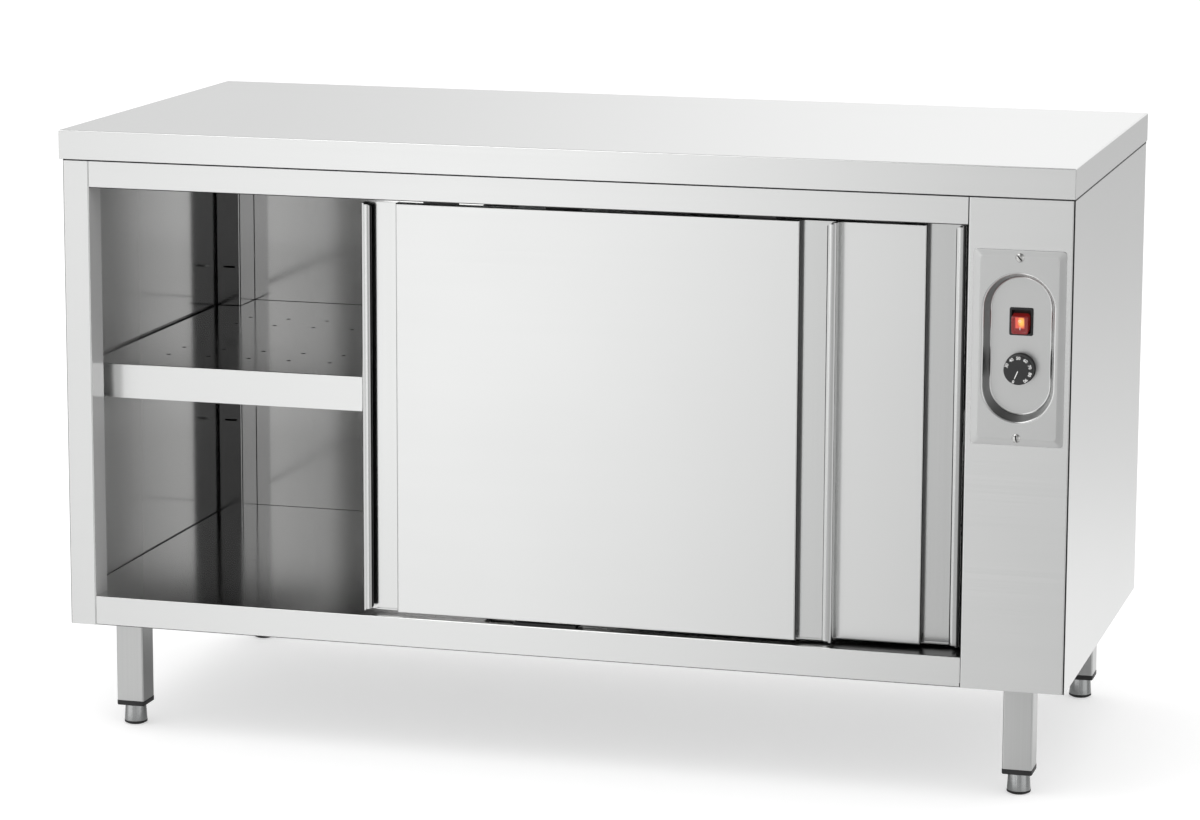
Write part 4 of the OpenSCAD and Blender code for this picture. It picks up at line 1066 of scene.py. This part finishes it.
# %% Four caps
def leg_cap(leg):
    low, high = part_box(leg)
    centre = (low + high) / 2
    caps_low, caps_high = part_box("leg_caps")
    half = 20.4 * MM
    cap = block("cap", (centre.x - half, centre.y - half, caps_low.z),
                (centre.x + half, centre.y + half, low.z))
    edit(cap)
    round_corners(cap, 2, 3, 5)
    choose(cap, "faces", lambda c, n: n.z < -0.9)
    bpy.ops.mesh.bevel(offset=1.4 * MM, segments=4, affect="EDGES")
    choose(cap, "faces", lambda c, n: n.z > 0.9)
    bpy.ops.mesh.inset(thickness=2.4 * MM)
    bpy.ops.mesh.extrude_region_move(TRANSFORM_OT_translate={"value": (0, 0, caps_high.z - low.z)})
    leave_edit()
    hole = [(0, -1), (5.4, -1), (5.4, 60), (0, 60)]
    subtract(cap, turned("hole", hole, (centre.x, centre.y, caps_low.z - MM), Z, 48))
    return cap


caps = join(*[leg_cap("leg_" + corner) for corner in CORNERS], name="leg_caps_finished")
smooth(caps)
dress(caps, cap_plastic, "leg_caps")

# %% [markdown]
# ## The studio
# Polished steel shows the room more than itself. The photograph's room seems to have a white board at
# the front left, which the front faces mirror, and darker space at the right. The world is painted the
# same way, by direction: bright stripes left of the front, grey elsewhere, and a paler wall behind the
# cabinet. The camera itself sees white past the object. The pale floor takes the soft shadow. Glossy
# rays see it only under the cabinet and pass through it elsewhere.

# %% Floor
SHADED_X, SHADED_Y = 0.62, 0.30      # Half the size of the floor that glossy rays see.
FADE_PER_METRE = 8.0
bpy.ops.mesh.primitive_plane_add(size=60)
floor = bpy.context.object
floor.name = "studio_floor"
floor_finish, tree, shader, place = finish_start("studio_floor", 0.0, 0.0)
shader.inputs["Base Color"].default_value = (0.65, 0.65, 0.65, 1)
shader.inputs["Roughness"].default_value = 0.9
shader.inputs["Emission Strength"].default_value = 0.5
glossy = tree.nodes.new("ShaderNodeLightPath").outputs["Is Glossy Ray"]
tree.links.new(blend_colours(tree, glossy, (1, 1, 1), (0.05, 0.05, 0.05)), shader.inputs["Emission Color"])
apart = split(tree, place)
outside = calculate(tree, "MAXIMUM", minus(tree, calculate(tree, "ABSOLUTE", apart[0], 0), SHADED_X),
                    minus(tree, calculate(tree, "ABSOLUTE", apart[1], 0), SHADED_Y))
far = times(tree, outside, FADE_PER_METRE, True)
clear = tree.nodes.new("ShaderNodeBsdfTransparent")
either = tree.nodes.new("ShaderNodeMixShader")
for socket, source in zip(either.inputs, (times(tree, glossy, far), shader.outputs[0], clear.outputs[0])):
    tree.links.new(source, socket)
tree.links.new(either.outputs[0], tree.nodes["Material Output"].inputs["Surface"])
floor.data.materials.append(floor_finish)

# %% World
world = bpy.data.worlds.new("studio")
bpy.context.scene.world = world
world.use_nodes = True
tree = world.node_tree
glossy = tree.nodes.new("ShaderNodeLightPath").outputs["Is Glossy Ray"]
dir_x, dir_y, dir_z = split(tree, tree.nodes.new("ShaderNodeTexCoord").outputs["Generated"])


def brightness(value, stops):
    """A number that follows the stops (position, grey) while value goes from -1 to 1."""
    ramp = tree.nodes.new("ShaderNodeValToRGB")
    ramp.color_ramp.interpolation = "EASE"
    elements = ramp.color_ramp.elements
    while len(elements) < len(stops):
        elements.new(0.5)
    for element, (where, grey) in zip(elements, stops):
        element.position = (where + 1) / 2
        element.color = (grey, grey, grey, 1)
    tree.links.new(times(tree, plus(tree, value, 1.0), 0.5, True), ramp.inputs[0])
    number = tree.nodes.new("ShaderNodeRGBToBW")
    tree.links.new(ramp.outputs[0], number.inputs[0])
    return number.outputs[0]


front = brightness(dir_x, [
    (-1.0, 0.50), (-0.83, 0.72), (-0.60, 0.72), (-0.47, 0.55), (-0.39, 0.44), (-0.335, 1.0),
    (-0.285, 1.0), (-0.25, 0.80), (-0.215, 0.58), (-0.18, 0.41), (-0.15, 0.35), (-0.05, 0.41),
    (0.14, 0.44), (0.24, 0.34), (0.3, 0.32), (0.58, 0.45), (1.0, 0.62)])
front_height = brightness(dir_z, [
    (-1.0, 0.85), (-0.6, 0.95), (-0.30, 0.74), (-0.24, 0.84), (-0.19, 0.98), (-0.15, 1.0), (0.2, 1.0),
    (0.5, 0.55), (1.0, 0.35)])
back = brightness(dir_x, [
    (-1.0, 0.33), (-0.45, 0.46), (-0.36, 0.51), (-0.16, 0.69), (0.3, 0.66), (1.0, 0.4)])
back_height = brightness(dir_z, [
    (-1.0, 0.6), (-0.3, 1.0), (-0.23, 0.98), (-0.19, 0.74), (-0.137, 0.61), (-0.10, 0.56), (0.02, 0.78),
    (0.1, 1.0), (0.3, 1.0), (1.0, 0.5)])
ROOM_LIGHT = 1.55
which = plus(tree, times(tree, dir_y, 3.0), 0.5, True)
room = plus(tree, times(tree, times(tree, front, front_height), minus(tree, 1.0, which)),
            times(tree, times(tree, back, back_height), which))
light = plus(tree, times(tree, times(tree, room, ROOM_LIGHT), glossy), minus(tree, 1.0, glossy))
tree.links.new(light, tree.nodes["Background"].inputs["Color"])

# %% A large soft lamp overhead
lamp = new_object("overhead_softbox", bpy.data.lights.new("overhead_softbox", "AREA"))
lamp.data.shape = "RECTANGLE"
lamp.data.size, lamp.data.size_y = 2.4, 2.0
lamp.data.energy = 22
lamp.location = (-1.2, -1.6, 3.6)
lamp.rotation_mode = "QUATERNION"
lamp.rotation_quaternion = (lamp.location - Vector((0, 0, 0.4))).to_track_quat("Z", "Y")

# %% View transform
bpy.context.scene.view_settings.view_transform = "Standard"
